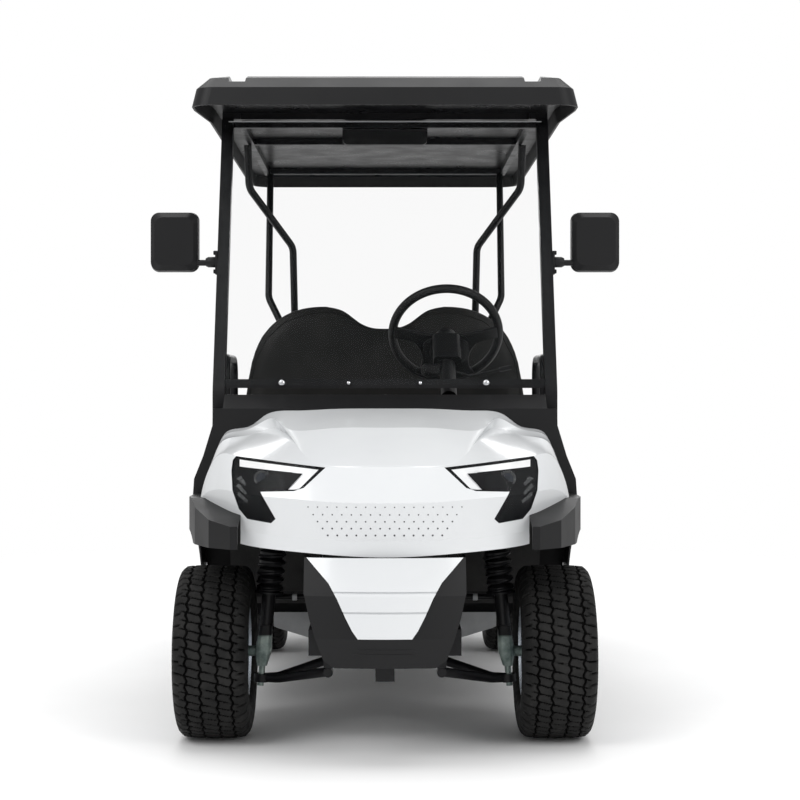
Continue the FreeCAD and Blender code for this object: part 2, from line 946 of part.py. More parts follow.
# White cowl. Each row: share of the half width, then (depth, height) shares from the chin up
# over the beltline crease to the rear edge of the hood.
cowl_shares = [
    (
        0.00,
        [
            (0.042, 0.00), (0.053, 0.11), (0.000, 0.37), (0.116, 0.61),
            (0.135, 0.622), (0.558, 0.868), (1, 1.000),
        ],
    ),
    (
        0.31,
        [
            (0.050, 0.02), (0.063, 0.12), (0.022, 0.38), (0.126, 0.61),
            (0.145, 0.622), (0.558, 0.862), (1, 0.996),
        ],
    ),
    (
        0.50,
        [
            (0.085, 0.04), (0.096, 0.13), (0.060, 0.40), (0.160, 0.63),
            (0.540, 0.790), (0.600, 0.850), (1, 0.985),
        ],
    ),
    (
        0.665,
        [
            (0.15, 0.06), (0.160, 0.155), (0.125, 0.415), (0.235, 0.65),
            (0.85, 0.845), (0.90, 0.915), (1, 0.955),
        ],
    ),
    (
        0.76,
        [
            (0.225, 0.08), (0.232, 0.17), (0.200, 0.43), (0.310, 0.67),
            (0.760, 0.805), (0.90, 0.848), (1, 0.868),
        ],
    ),
    (
        0.88,
        [
            (0.390, 0.15), (0.395, 0.23), (0.375, 0.44), (0.470, 0.68),
            (0.700, 0.770), (0.88, 0.812), (1, 0.832),
        ],
    ),
    (
        0.936,
        [
            (0.48, 0.19), (0.485, 0.26), (0.470, 0.42), (0.560, 0.595),
            (0.72, 0.640), (0.88, 0.660), (1, 0.668),
        ],
    ),
    (
        1.00,
        [
            (0.620, 0.25), (0.620, 0.28), (0.620, 0.33), (0.680, 0.37),
            (0.780, 0.385), (0.90, 0.392), (1, 0.40),
        ],
    ),
]


def skinned(stations):
    """A solid from matching outlines: smooth along the body, a crease line through each row of points."""
    count = len(stations[0])
    lines = []
    for k in range(count):
        curve = Part.BSplineCurve()
        curve.interpolate([station[k] for station in stations])
        lines.append(curve.toShape())
    faces = [Part.makeRuledSurface(lines[k - 1], lines[k]) for k in range(count)]
    faces.append(Part.Face(closed_wire(stations[0])))
    faces.append(Part.Face(closed_wire(stations[-1])))
    shell = Part.makeShell(faces)
    shell.sewShape()
    solid = Part.Solid(shell)
    if solid.Volume < 0:
        solid.reverse()
    return solid


def cowl_solid(setback, drop, shrink):
    """The cowl's outer form moved back, lowered and narrowed, closed at the rear and below."""
    rows = [(-x, pts) for x, pts in reversed(cowl_shares[1:])] + cowl_shares
    stations = []
    for x_share, pts in rows:
        x = x_share * (cowl_half_width - shrink)
        outline = []
        for d, h in pts:
            y = cowl_front_y + d * cowl_depth + setback
            outline.append(Vector(x, y, cowl_low + h * cowl_height - drop))
        outline.append(Vector(x, cowl_rear_y + setback, outline[0].z))
        stations.append(outline)
    return skinned(stations)


# Headlamp outline: (x, z) shares of the cowl's half width and height
lamp_shares = [
    (0.780, 0.676),
    (0.305, 0.606),
    (0.415, 0.470),
    (0.466, 0.448),
    (0.640, 0.440),
    (0.560, 0.256),
    (0.585, 0.226),
    (0.712, 0.250),
    (0.757, 0.316),
    (0.793, 0.444),
    (0.804, 0.577),
    (0.799, 0.647),
]


def lamp_prism(inset):
    y = cowl_front_y - overrun
    points = []
    for x_share, z_share in lamp_shares:
        points.append(Vector(x_share * cowl_half_width, y, cowl_low + z_share * cowl_height))
    face = Part.Face(closed_wire(points))
    if inset:
        face = face.makeOffset2D(-inset)
    return face.extrude(Vector(0, overrun + cowl_depth * 0.55, 0))


def flare_side_outline(grow):
    """Side view of the flare: over the wheel, forward to the nose and down behind the tyre."""
    top = arch_top + flare_band + grow
    rear = floor_front_y + cross_member
    front = cowl_front_y
    return [
        (front - grow, arch_top - flare_front_drop),
        (front - grow, arch_top + flare_front_drop + grow),
        (front_axle_y - wheel_room, top),
        (front_axle_y + wheel_room, top),
        (front_axle_y + arch_radius * 0.75, arch_top + grow),
        (rear, axle_z + arch_radius * 0.62 + grow),
        (rear, axle_z + arch_radius * 0.34),
        (front_axle_y, axle_z + arch_radius * 0.34),
    ]


def flare_room():
    """The space that both flares take out of the pieces beside them."""
    side = prism_x(flare_side_outline(seat_gap), flare_inner - seat_gap, flare_reach + overrun)
    return both_sides(side)


def cowl():
    outer = cowl_solid(0, 0, 0)
    inner = cowl_solid(cowl_wall, cowl_wall, cowl_wall)
    skin = outer.cut(inner)
    return skin.cut(flare_room() + both_sides(lamp_prism(0)))


def lamp_slab(start, end, inset):
    body = cowl_solid(start, 0, cowl_wall / 4).cut(cowl_solid(end, 0, cowl_wall / 4))
    return body.common(lamp_prism(inset)).cut(flare_room())


def headlamps():
    return both_sides(lamp_slab(lamp_recess + lens_wall + seat_gap, lamp_depth, lamp_fit))


def headlamp_lenses():
    return both_sides(lamp_slab(lamp_recess, lamp_recess + lens_wall, lamp_fit))


def flare_plan(inset):
    """Plan view of the left flare, wrapping the nose corner and running back past the tyre."""
    outer = flare_reach - inset
    front = cowl_front_y + inset
    rear = floor_front_y + cross_member
    return [
        (flare_inner, front + inset),
        (flare_inner + (outer - flare_inner) * 0.12, front),
        (flare_inner + (outer - flare_inner) * 0.50, front + wheel_room * 0.55),
        (flare_inner + (outer - flare_inner) * 0.80, front + wheel_room * 1.6),
        (outer - inset, front_axle_y - wheel_room * 0.3),
        (outer, front_axle_y + wheel_room),
        (outer, rear),
        (flare_rear_inner, rear),
        (flare_rear_inner, cowl_rear_y),
        (flare_inner, cowl_rear_y),
    ]


def front_flares():
    """A black flare each side: outer skin and top ledge, open over the wheel."""
    side_form = prism_x(flare_side_outline(0), 0, flare_reach + overrun)
    solid = prism_z(flare_plan(0), 0, cowl_top).common(side_form)
    hollow = prism_z(flare_plan(flare_wall), 0, cowl_top).common(
        prism_x(flare_side_outline(-flare_wall), 0, flare_reach + overrun)
    )
    deeper = hollow.copy()
    deeper.translate(Vector(0, 0, -flare_wall))
    arch = rod(
        Vector(0, front_axle_y, axle_z),
        Vector(flare_reach + overrun, front_axle_y, axle_z),
        arch_radius,
    )
    nose_room = block(
        (0, flare_reach + overrun),
        (nose_y, front_axle_y),
        (0, arch_top - flare_front_drop),
    )
    skin = solid.cut([hollow, deeper, arch, nose_room])
    biggest = max(skin.Solids, key=lambda s: s.Volume)
    return both_sides(biggest)


# Chin bumper. Shares of the chin's height and of its bow, from the top down.
chin_outline_shares = [(1.0, 1.0), (1.0, 0.68), (0.93, 0.46), (0.84, 0.25), (0.755, 0.07), (0.62, 0.0)]
plate_outline_shares = [
    (0.97, 1.0),
    (0.82, 0.83),
    (0.695, 0.69),
    (0.585, 0.49),
    (0.487, 0.27),
    (0.40, 0.10),
    (0.33, 0.0),
]


def chin_solid(proud, low, high):
    """A bowed block behind the chin's front surface."""
    rake = cowl_setback - plate_proud
    span = high - chin_bottom
    wires = []
    for x_share in (-1.0, 0.0, 1.0):
        back = chin_bow * x_share * x_share
        x = x_share * (chin_half_width + overrun)
        y_top = nose_y + rake + plate_proud - proud + back
        y_low = nose_y + plate_proud - proud + back
        y_under = y_low + rake * 0.45
        points = [
            Vector(x, y_top, high),
            Vector(x, (y_top + y_low) / 2 - rake * 0.12, chin_bottom + span * 0.66),
            Vector(x, y_low, chin_bottom + span * 0.28),
            Vector(x, y_under, low),
            Vector(x, chin_back_y, low),
            Vector(x, chin_back_y, high),
        ]
        wires.append(closed_wire(points))
    return Part.makeLoft(wires, True, False)


def chin_front(shares, low, high, grow):
    """Front outline from the top edge down to the lower edge, widened all round by grow."""
    right = [(x * chin_half_width + grow, low + z * (high - low)) for x, z in shares]
    right[0] = (right[0][0], high + grow)
    right[-1] = (right[-1][0], low - grow)
    left = [(-x, z) for x, z in reversed(right)]
    return right + left


def chin_top():
    return cowl_low - seat_gap


def chin():
    """Black surround of the nose: a shell with the plate's opening in its face."""
    top = chin_top()
    outline = prism_y(chin_front(chin_outline_shares, chin_bottom, top, 0), nose_y - overrun, 0)
    outer = chin_solid(0, chin_bottom, top)
    inner = outer.copy()
    inner.translate(Vector(0, chin_wall, 0))
    opening = prism_y(chin_front(plate_outline_shares, plate_bottom, top, seat_gap), nose_y - overrun, 0)
    narrower = prism_y(chin_front(chin_outline_shares, chin_bottom, top, -chin_wall), nose_y - overrun, 0)
    whole = outer.common(outline)
    return whole.cut([inner.common(narrower), opening])


def chin_plate():
    """White plate in the chin with two pressed lines across it."""
    top = chin_top()
    outer = chin_solid(plate_proud, chin_bottom, top)
    inner = outer.copy()
    inner.translate(Vector(0, plate_wall, 0))
    outline = prism_y(chin_front(plate_outline_shares, plate_bottom, top, 0), nose_y - overrun, 0)
    shallow = outer.copy()
    shallow.translate(Vector(0, plate_wall / 2, 0))
    span = top - plate_bottom
    lines = []
    for share in (0.56, 0.31):
        z = plate_bottom + share * span
        band = block((-chin_half_width, chin_half_width), (nose_y - overrun, 0), (z, z + plate_groove))
        lines.append(band.cut(shallow))
    return outer.cut(inner).common(outline).cut(lines)


# Dashboard
def dash_outline():
    """Side view of the dashboard: a rising top, a rounded brow and a face towards the seats."""
    front = dash_front_y
    low = dash_top - dash_height
    return [
        (front, low),
        (front, cowl_top),
        (front + dash_depth * 0.22, dash_top),
        (front + dash_depth * 0.80, dash_top),
        (front + dash_depth, dash_top - dash_height * 0.22),
        (front + dash_depth * 0.92, low + dash_height * 0.20),
        (front + dash_depth * 0.60, low),
    ]


# Front view of the left dash cheek: (share of its width, share of its height)
cheek_shares = [(0, 0), (0, 1), (0.34, 1), (0.35, 0.853), (0.65, 0.593), (0.95, 0.395), (1, 0.2), (1, 0)]


def dash_cheek():
    """Moulded cover beside the dash, round the post's foot and down to the flare."""
    low = arch_top
    outline = []
    for x_share, z_share in cheek_shares:
        outline.append((dash_half_width - 1 + x_share * cheek_width, low + z_share * (cowl_top - low)))
    cheek = prism_y(outline, dash_front_y, post_y + post_size)
    flare = prism_x(flare_side_outline(seat_gap), 0, flare_reach + cheek_width)
    room = post_size / 2 + 2 * seat_gap
    post = block(
        (post_x - room, post_x + room),
        (post_y - room, post_y + room),
        (post_foot_height - seat_gap, cowl_top + overrun),
    )
    return cheek.cut([flare, post])


def dashboard():
    """Moulded dash with two open gloveboxes and two cup wells."""
    body = prism_x(dash_outline(), -dash_half_width, dash_half_width)
    face_y = dash_front_y + dash_depth
    low = dash_top - dash_height
    cuts = []
    for side in (-1, 1):
        x = side * pocket_x
        pocket = prism_y(
            [
                (x - pocket_width / 2, low + dash_height * 0.27),
                (x + pocket_width / 2, low + dash_height * 0.27),
                (x + pocket_width / 2, low + dash_height * 0.27 + pocket_height),
                (x - pocket_width / 2, low + dash_height * 0.27 + pocket_height),
            ],
            face_y - pocket_depth,
            face_y + overrun,
            dash_wall * 3,
        )
        cuts.append(pocket)
    for side in (-1, 1):
        x = side * cup_spacing / 4
        cuts.append(
            rod(
                Vector(x, dash_front_y + dash_depth * 0.62, dash_top - cup_depth),
                Vector(x, dash_front_y + dash_depth * 0.62, dash_top + overrun),
                cup_radius,
            )
        )
    body = fused([body] + both_sides(dash_cheek()))
    hub = Vector(column_x, column_hub_y, column_hub_height)
    down = -column_direction()
    cuts.append(rod(hub, hub + down * (column_length * 2), column_radius + seat_gap))
    cuts.append(shroud(seat_gap))
    return body.cut(cuts)


# Steering column and wheel
def column_direction():
    tilt = math.radians(column_tilt)
    return Vector(0, math.cos(tilt), math.sin(tilt))


def place_on_column(shape):
    """Shapes are drawn with the rim in XY and the axis on Z, then set on the column."""
    moved = shape.copy()
    moved.rotate(Vector(0, 0, 0), Vector(1, 0, 0), column_tilt - 90)
    moved.translate(Vector(column_x, column_hub_y, column_hub_height))
    return moved


def shroud(grow):
    half = shroud_width / 2 + grow
    top = shroud_height / 2 + grow
    start = -wheel_hub_length - seat_gap + grow
    end = start - shroud_length - 2 * grow
    box = prism_z(rectangle(-half, half, -top, top), end, start, shroud_height / 5)
    return place_on_column(box)


def steering_column():
    """Column tube with the switch shroud round its upper end."""
    start = -wheel_hub_length - seat_gap
    tube = Part.makeCylinder(
        column_radius, column_length, Vector(0, 0, start - column_length), Vector(0, 0, 1)
    )
    bore_start = Vector(0, 0, start - column_length / 2)
    bore = Part.makeCylinder(shaft_radius + running_gap, column_length + overrun, bore_start)
    return fused([shroud(0), place_on_column(tube)]).cut(place_on_column(bore))


def steering_wheel():
    """Grip ring, padded hub, three spokes and the shaft that turns in the column."""
    section = []
    for i in range(wheel_grip_sides):
        angle = 2 * math.pi * (i + 0.5) / wheel_grip_sides
        radius = wheel_rim_radius + wheel_grip_radius * math.cos(angle)
        section.append((radius, wheel_grip_radius * math.sin(angle)))
    grip = turned(section, Vector(0, 0, 0), Vector(0, 0, 1))
    half_w = wheel_pad_width / 2
    half_h = wheel_pad_height / 2
    low = -wheel_pad_depth
    sections = []
    for z, scale in ((low, 0.72), (low / 2, 1.0), (0, 0.86)):
        corners = [
            Vector(-half_w * scale, -half_h * scale * 1.1, z),
            Vector(half_w * scale, -half_h * scale * 1.1, z),
            Vector(half_w * scale * 1.15, half_h * scale * 0.8, z),
            Vector(-half_w * scale * 1.15, half_h * scale * 0.8, z),
        ]
        sections.append(closed_wire(corners, half_h * 0.45))
    pad = loft(sections)
    hub_depth = wheel_hub_length - wheel_pad_depth / 2
    hub = Part.makeCylinder(wheel_hub_radius, hub_depth, Vector(0, 0, -wheel_hub_length))
    spokes = []
    for angle in wheel_spoke_angles:
        width = wheel_spoke_width * (1.5 if angle > 200 else 1.0)
        spoke = prism_z(
            [
                (0, -width * 0.8),
                (wheel_rim_radius, -width / 2),
                (wheel_rim_radius, width / 2),
                (0, width * 0.8),
            ],
            -wheel_spoke_thickness * 1.4,
            -wheel_spoke_thickness * 0.4,
        )
        spoke.rotate(Vector(0, 0, 0), Vector(0, 0, 1), angle)
        spokes.append(spoke)
    shaft = Part.makeCylinder(
        shaft_radius, column_length * 0.4, Vector(0, 0, -wheel_hub_length - column_length * 0.4 + 1)
    )
    return place_on_column(fused([grip, pad, hub, shaft] + spokes))


def pedals():
    """Brake and drive pedals on arms that rise from the floor."""
    y = floor_front_y + cross_member
    pads = []
    for i in (0, 1):
        x = column_x - pedal_spacing / 2 + i * pedal_spacing
        width = pedal_width * (1.25 if i == 0 else 0.85)
        base = floor_top + seat_gap
        pad = prism_x(
            [
                (y, base + pedal_height * 0.6),
                (y - pedal_height * 0.45, base + pedal_height * 1.5),
                (y - pedal_height * 0.45 + pedal_thickness, base + pedal_height * 1.5),
                (y + pedal_thickness, base + pedal_height * 0.6),
            ],
            x - width / 2,
            x + width / 2,
        )
        stem_z = (base, base + pedal_height * 0.7)
        stem = block((x - pedal_arm, x + pedal_arm), (y, y + pedal_thickness), stem_z)
        pads.append(fused([pad, stem]))
    return pads


# Windshield frame, windshield and roof
def post_path():
    """Foot, knee and head of the left front post."""
    return [
        Vector(post_x, post_y, post_foot_height),
        Vector(post_x, post_y, bar_height - bar_size),
        Vector(post_x, post_top_y, post_top_height),
    ]


def square_sweep(points, size, bend):
    path = bent_path(points, bend)
    half = size / 2
    start = points[0]
    corners = [
        start + Vector(-half, -half, 0),
        start + Vector(half, -half, 0),
        start + Vector(half, half, 0),
        start + Vector(-half, half, 0),
    ]
    return path.makePipeShell([closed_wire(corners)], True, False)


def windshield_frame():
    """Two square posts leaning back from the cowl, tied by a bar above the hood and one at the head."""
    foot, knee, head = post_path()
    post = square_sweep([foot, knee, head], post_size, post_bend)
    hollow = square_sweep([foot, knee, head], post_size - 2 * post_wall, post_bend)
    lean = head - knee
    lean.normalize()
    low_centre = knee + lean * bar_size
    inner = post_x - post_size / 2
    bar = block(
        (-inner - 1, inner + 1),
        (low_centre.y - bar_size / 2, low_centre.y + bar_size / 2),
        (low_centre.z - bar_size / 2, low_centre.z + bar_size / 2),
    )
    top_bar = block(
        (-inner - 1, inner + 1),
        (head.y - bar_size / 2, head.y + bar_size / 2),
        (post_top_height - bar_size, post_top_height - bar_size / 4),
    )
    frame_shape = fused([post, mirrored(post), bar, top_bar])
    return frame_shape.cut([hollow, mirrored(hollow), above_posts()])


def windshield_plane():
    foot, knee, head = post_path()
    lean = head - knee
    lean.normalize()
    normal = Vector(0, -lean.z, lean.y)
    return knee, head, lean, normal


def windshield():
    """One clear sheet on the front faces of the posts, from the bar to the head."""
    knee, head, lean, normal = windshield_plane()
    offset = normal * (post_size / 2 + seat_gap)
    low = knee + lean * (bar_size - windshield_overlap) + offset
    high = head + offset - lean * windshield_overlap
    back = normal * windshield_thickness
    half = windshield_half_width
    corners = [
        Vector(-half, low.y, low.z),
        Vector(half, low.y, low.z),
        Vector(half, high.y, high.z),
        Vector(-half, high.y, high.z),
    ]
    return Part.Face(closed_wire(corners, windshield_overlap * 2)).extrude(back)


def above_posts():
    half = roof_half_width
    y = (roof_front_y, roof_front_y + roof_length)
    return block((-half, half), y, (post_top_height, cowl_top + roof_length))


def roof_ring(z, inset):
    tip = roof_half_width - inset
    side = tip - roof_waist
    rear = side - roof_waist / 2
    y0 = roof_front_y + inset
    y1 = roof_front_y + roof_length - inset
    right = [
        Vector(tip, y0, z),
        Vector(tip, y0 + roof_tip, z),
        Vector(side, y0 + 3 * roof_tip, z),
        Vector(side, y1 - 3 * roof_tip, z),
        Vector(rear, y1, z),
    ]
    left = [mirrored_point(p) for p in reversed(right)]
    return closed_wire(right + left, max(roof_corner - inset, roof_corner / 4))


def roof_form(inset, drop, extra):
    z = roof_lip_height - drop
    rings = [
        roof_ring(z, inset),
        roof_ring(z + roof_fascia, inset + roof_fascia * 0.22),
        roof_ring(z + roof_fascia + roof_slope * 0.72, inset + roof_slope * 1.05),
        roof_ring(z + roof_fascia + roof_slope, inset + roof_slope * 2.1),
        roof_ring(z + roof_fascia + roof_slope + roof_crown, inset + roof_half_width * 0.55),
    ]
    solid = Part.makeLoft(rings, True, True)
    gutters = []
    for side in (-1, 1):
        half = gutter_width / 2 + extra
        x = side * gutter_x
        gutters.append(
            prism_y(
                [
                    (x - half, z + roof_fascia + roof_slope - gutter_depth),
                    (x + half, z + roof_fascia + roof_slope - gutter_depth),
                    (x + half * 1.35, z + roof_fascia + roof_slope + roof_crown * 2),
                    (x - half * 1.35, z + roof_fascia + roof_slope + roof_crown * 2),
                ],
                roof_front_y - overrun,
                roof_front_y + roof_length + overrun,
            )
        )
    return solid.cut(gutters)


def roof():
    """Moulded roof skin: deep fascia, sloping shoulders, crowned top and two drain channels."""
    outer = roof_form(0, 0, 0)
    inner = roof_form(roof_wall, roof_wall, roof_wall)
    return outer.cut(inner)


def liner_inset():
    rise = liner_low + liner_thickness - roof_lip_height + roof_wall
    return roof_wall + rise * 0.22 + seat_gap


def roof_liner():
    inset = liner_inset()
    return Part.Face(roof_ring(liner_low, inset)).extrude(Vector(0, 0, liner_thickness))


def roof_rails():
    """Square rails under the liner on both sides, tied by two cross bars."""
    half = roof_rail_size / 2
    low = post_top_height + seat_gap / 2
    high = low + roof_rail_size - seat_gap / 2
    y0 = post_top_y - roof_rail_size
    y1 = y0 + roof_rail_length
    pieces = []
    for side in (-1, 1):
        x = side * roof_rail_x
        pieces.append(block((x - half, x + half), (y0, y1), (low, high)))
    for y in (mid_stay_roof_y, rear_stay_roof_y):
        pieces.append(block((-roof_rail_x, roof_rail_x), (y - half, y + half), (low, high)))
    reach = post_x + post_size / 2
    pieces.append(block((-reach, reach), (post_top_y - half, post_top_y + half), (low, high)))
    return fused(pieces)


def roof_stays():
    """Round stays: a cranked pair to the seat back frame and a straighter pair behind it."""
    top = post_top_height
    low = seat_base_height + seat_gap
    mid = [
        Vector(roof_rail_x + stay_radius, mid_stay_roof_y, top),
        Vector(roof_rail_x + stay_radius, mid_stay_roof_y + mid_stay_crank, top - mid_stay_drop),
        Vector(mid_stay_low_x, mid_stay_low_y - mid_stay_sweep, back_top + mid_stay_rise),
        Vector(mid_stay_low_x, mid_stay_low_y, back_top - stay_low_bend),
        Vector(mid_stay_low_x, mid_stay_low_y, low),
    ]
    rear = [
        Vector(roof_rail_x - stay_radius, rear_stay_roof_y, top),
        Vector(rear_stay_mid_x, rear_stay_low_y + rear_stay_sweep, back_top + rear_stay_rise),
        Vector(rear_stay_low_x, rear_stay_low_y, back_top - rear_stay_sink),
        Vector(rear_stay_low_x, rear_stay_low_y, low),
    ]
    stays = []
    for path in (mid, rear):
        stays.extend(both_sides(bent_rod(path, stay_bend, stay_radius).cut(above_posts())))
    return stays


# Rear body
def body_side_outline(inset):
    z0 = body_bottom - (overrun if inset else 0)
    return [
        (body_front_y + inset, z0),
        (body_front_top_y + inset, seat_base_height - inset),
        (body_rear_y - inset, seat_base_height - inset),
        (body_rear_y - inset, z0),
    ]


def rear_body():
    """White shell under the seats: hatch on top, wheel arches in the sides, open below."""
    outer = prism_x(body_side_outline(0), -body_half_width, body_half_width)
    inner = prism_x(body_side_outline(body_wall), -body_half_width + body_wall, body_half_width - body_wall)
    radius = tyre_radius + rear_arch_room
    arch = rod(
        Vector(-body_half_width - overrun, rear_axle_y, axle_z),
        Vector(body_half_width + overrun, rear_axle_y, axle_z),
        radius,
    )
    hatch = block(
        (-hatch_half_width, hatch_half_width),
        (body_front_y + hatch_front_margin, body_front_y + hatch_front_margin + hatch_length),
        (seat_base_height - overrun, seat_base_height + overrun),
    )
    return outer.cut([inner, arch, hatch])


def rear_flares():
    """Black lip round each rear wheel arch."""
    radius = tyre_radius + rear_arch_room
    x0 = body_half_width + seat_gap
    x1 = x0 + rear_flare_width
    ring = rod(Vector(x0, rear_axle_y, axle_z), Vector(x1, rear_axle_y, axle_z), radius + rear_flare_band)
    hole = rod(Vector(x0 - 1, rear_axle_y, axle_z), Vector(x1 + overrun, rear_axle_y, axle_z), radius)
    inside = Part.makeCone(
        radius + rear_flare_band - flare_wall,
        radius + flare_wall / 2,
        x1 - x0 - flare_wall,
        Vector(x0 - 1, rear_axle_y, axle_z),
        Vector(1, 0, 0),
    )
    below = block((0, x1 + overrun), (0, tail_y), (-tyre_diameter, body_bottom))
    return both_sides(ring.cut([hole, below, inside]))


def cushion(x_half, y0, y1, z0, z1, round_size):
    """A pad with rounded corners and a slightly smaller crown."""
    base = rectangle(-x_half, x_half, y0, y1)
    low = closed_wire([Vector(x, y, z0) for x, y in base], round_size)
    shrink = round_size * 0.35
    mid = closed_wire([Vector(x, y, z1 - round_size) for x, y in base], round_size)
    upper = rectangle(-x_half + shrink, x_half - shrink, y0 + shrink, y1 - shrink)
    high = closed_wire([Vector(x, y, z1) for x, y in upper], round_size)
    return Part.makeLoft([low, mid, high], True, True)


def hinge_barrels(y):
    """Two short barrels of a seat hinge on the line at y and the height of the body's top."""
    z = seat_base_height + seat_gap
    barrels = []
    for side in (-1, 1):
        start = Vector(side * hinge_x - hinge_length / 2, y, z)
        barrels.append(rod(start, start + Vector(hinge_length, 0, 0), hinge_pin_radius))
    return barrels


def front_seat_base():
    low = seat_base_height + seat_gap
    board = block(
        (-cushion_half_width + seat_board, cushion_half_width - seat_board),
        (seat_front_y + seat_board, seat_front_y + cushion_depth - seat_board),
        (low, low + seat_board),
    )
    return fused([board] + hinge_barrels(front_hinge_y))


def front_cushion():
    low = seat_base_height + 2 * seat_gap + seat_board
    return cushion(
        cushion_half_width,
        seat_front_y,
        seat_front_y + cushion_depth,
        low,
        low + cushion_thickness - seat_board,
        cushion_round,
    )


def rear_seat_board():
    low = seat_base_height + seat_gap
    y0 = rear_cushion_front_y + seat_board
    board = block(
        (-cushion_half_width + seat_board, cushion_half_width - seat_board),
        (y0, body_rear_y),
        (low, low + seat_board),
    )
    tongues = []
    for side in (-1, 1):
        x = (side * hinge_x - hinge_length / 2, side * hinge_x + hinge_length / 2)
        tongues.append(block(x, (body_rear_y - 1, rear_hinge_y), (low, low + hinge_pin_radius)))
    return fused([board] + tongues + hinge_barrels(rear_hinge_y))


def rear_cushion():
    low = seat_base_height + 2 * seat_gap + seat_board
    return cushion(
        cushion_half_width,
        rear_cushion_front_y,
        rear_cushion_front_y + rear_cushion_depth,
        low,
        low + rear_cushion_thickness - seat_board,
        cushion_round,
    )


# Two-humped seat back: (x, z) shares of the half width and of the back's height
back_shares = [
    (0.00, 0.00),
    (0.93, 0.00),
    (1.00, 0.10),
    (0.995, 0.34),
    (0.95, 0.60),
    (0.86, 0.80),
    (0.72, 0.93),
    (0.55, 0.99),
    (0.42, 1.00),
    (0.30, 0.975),
    (0.18, 0.90),
    (0.10, 0.865),
    (0.00, 0.855),
]


def humped_back(y, thickness, bottom, top, half):
    """An upright pad with a hump behind each person and a dip between them."""
    right = [Vector(x * half, y, bottom + z * (top - bottom)) for x, z in back_shares]
    left = [Vector(-p.x, p.y, p.z) for p in reversed(right[1:-1])]
    upper = right[1:] + left
    curve = Part.BSplineCurve()
    curve.interpolate(upper)
    base = Part.LineSegment(upper[-1], upper[0]).toShape()
    face = Part.Face(Part.Wire([curve.toShape(), base]))
    return face.extrude(Vector(0, thickness, 0))


def front_back():
    return humped_back(back_front_y, back_thickness, back_bottom, back_top, back_half_width)


def rear_back():
    y = back_frame_y + back_plate_thickness + seat_gap
    return humped_back(y, rear_back_thickness, back_bottom, rear_back_top, back_half_width)


def seat_back_frame():
    """Sheet panels behind both seat backs, standing on the body between the stays."""
    low = seat_base_height + seat_gap
    high = rear_back_top - back_plate_drop
    half = mid_stay_low_x - 2 * stay_radius
    front = back_front_y + back_thickness + seat_gap
    front_plate = block((-half, half), (front, front + back_plate_thickness), (low, high))
    rear_plate = block(
        (-half, half),
        (back_frame_y, back_frame_y + back_plate_thickness),
        (low, high),
    )
    ribs = []
    for side in (-1, 1):
        x = side * half
        ribs.append(
            block(
                (x - back_rib, x + back_rib),
                (front, back_frame_y + back_plate_thickness),
                (low, high),
            )
        )
    return fused([front_plate, rear_plate] + ribs)


def armrest():
    """A bent tube loop beside the left end of the front seat."""
    low = seat_base_height + armrest_radius
    armrest_x = body_half_width + armrest_radius + seat_gap
    y_front = back_front_y - armrest_reach
    y_rear = back_front_y + back_thickness
    path = [
        Vector(armrest_x, y_front, low - armrest_foot),
        Vector(armrest_x, y_front, seat_base_height + armrest_rise),
        Vector(armrest_x, y_rear, seat_base_height + armrest_rise),
        Vector(armrest_x, y_rear, low - armrest_foot),
    ]
    return bent_rod(path, armrest_bend, armrest_radius)


def footrest():
    """Rear step: a plate on two bent tubes from the frame."""
    plate = block(
        (-footrest_half_width, footrest_half_width),
        (body_rear_y + overrun, tail_y),
        (footrest_height - footrest_plate, footrest_height),
    )
    rear = tail_y - frame_rear_setback + seat_gap
    tubes = []
    for side in (-1, 1):
        x = side * rail_spacing / 2
        tubes.append(
            block(
                (x - footrest_tube, x + footrest_tube),
                (rear, tail_y - 2 * overrun),
                (footrest_height - footrest_plate - 2 * footrest_tube, footrest_height - footrest_plate + 1),
            )
        )
        tubes.append(
            block(
                (x - footrest_tube, x + footrest_tube),
                (rear, rear + 2 * footrest_tube),
                (frame_bottom, footrest_height - footrest_plate),
            )
        )
    return fused([plate] + tubes)


def battery():
    y0 = body_front_y + hatch_front_margin
    low = frame_top + seat_gap
    half = battery_width / 2
    return block((-half, half), (y0, y0 + battery_length), (low, low + battery_height))


def tail_lamps():
    x1 = body_half_width - 3 * body_wall
    z1 = seat_base_height - 6 * body_wall
    y0 = body_rear_y + seat_gap
    lamp = prism_y(
        [
            (x1 - tail_lamp_width, z1 - tail_lamp_height),
            (x1, z1 - tail_lamp_height),
            (x1, z1),
            (x1 - tail_lamp_width, z1),
        ],
        y0,
        y0 + tail_lamp_depth,
        body_wall * 2,
    )
    return both_sides(lamp)


# Mirrors
def side_mirror():
    """A rounded head on a ball-ended arm that is clamped to the post."""
    knee, head, lean, normal = windshield_plane()
    share = (mirror_z - mirror_height * 0.35 - knee.z) / (head.z - knee.z)
    mount = knee + (head - knee) * share
    half_w = mirror_width / 2
    half_h = mirror_height / 2
    y = mount.y
    sections = []
    for at, scale in ((-mirror_depth / 2, 0.80), (-mirror_depth / 6, 0.97), (mirror_depth / 2, 1.0)):
        w = half_w * scale
        h = half_h * scale
        corners = [
            Vector(mirror_x - w, y + at, mirror_z - h),
            Vector(mirror_x + w, y + at, mirror_z - h),
            Vector(mirror_x + w, y + at, mirror_z + h),
            Vector(mirror_x - w, y + at, mirror_z + h),
        ]
        sections.append(closed_wire(corners, mirror_round))
    shell = Part.makeLoft(sections, True, True)
    outer = post_x + post_size / 2
    plate = block(
        (outer + seat_gap, outer + seat_gap + post_wall * 2),
        (y - post_size / 2, y + post_size / 2),
        (mount.z - post_size, mount.z + post_size),
    )
    arm = rod(Vector(outer + seat_gap + 1, y, mount.z), Vector(mirror_x, y, mount.z), mirror_arm_radius)
    return fused([shell, plate, arm])


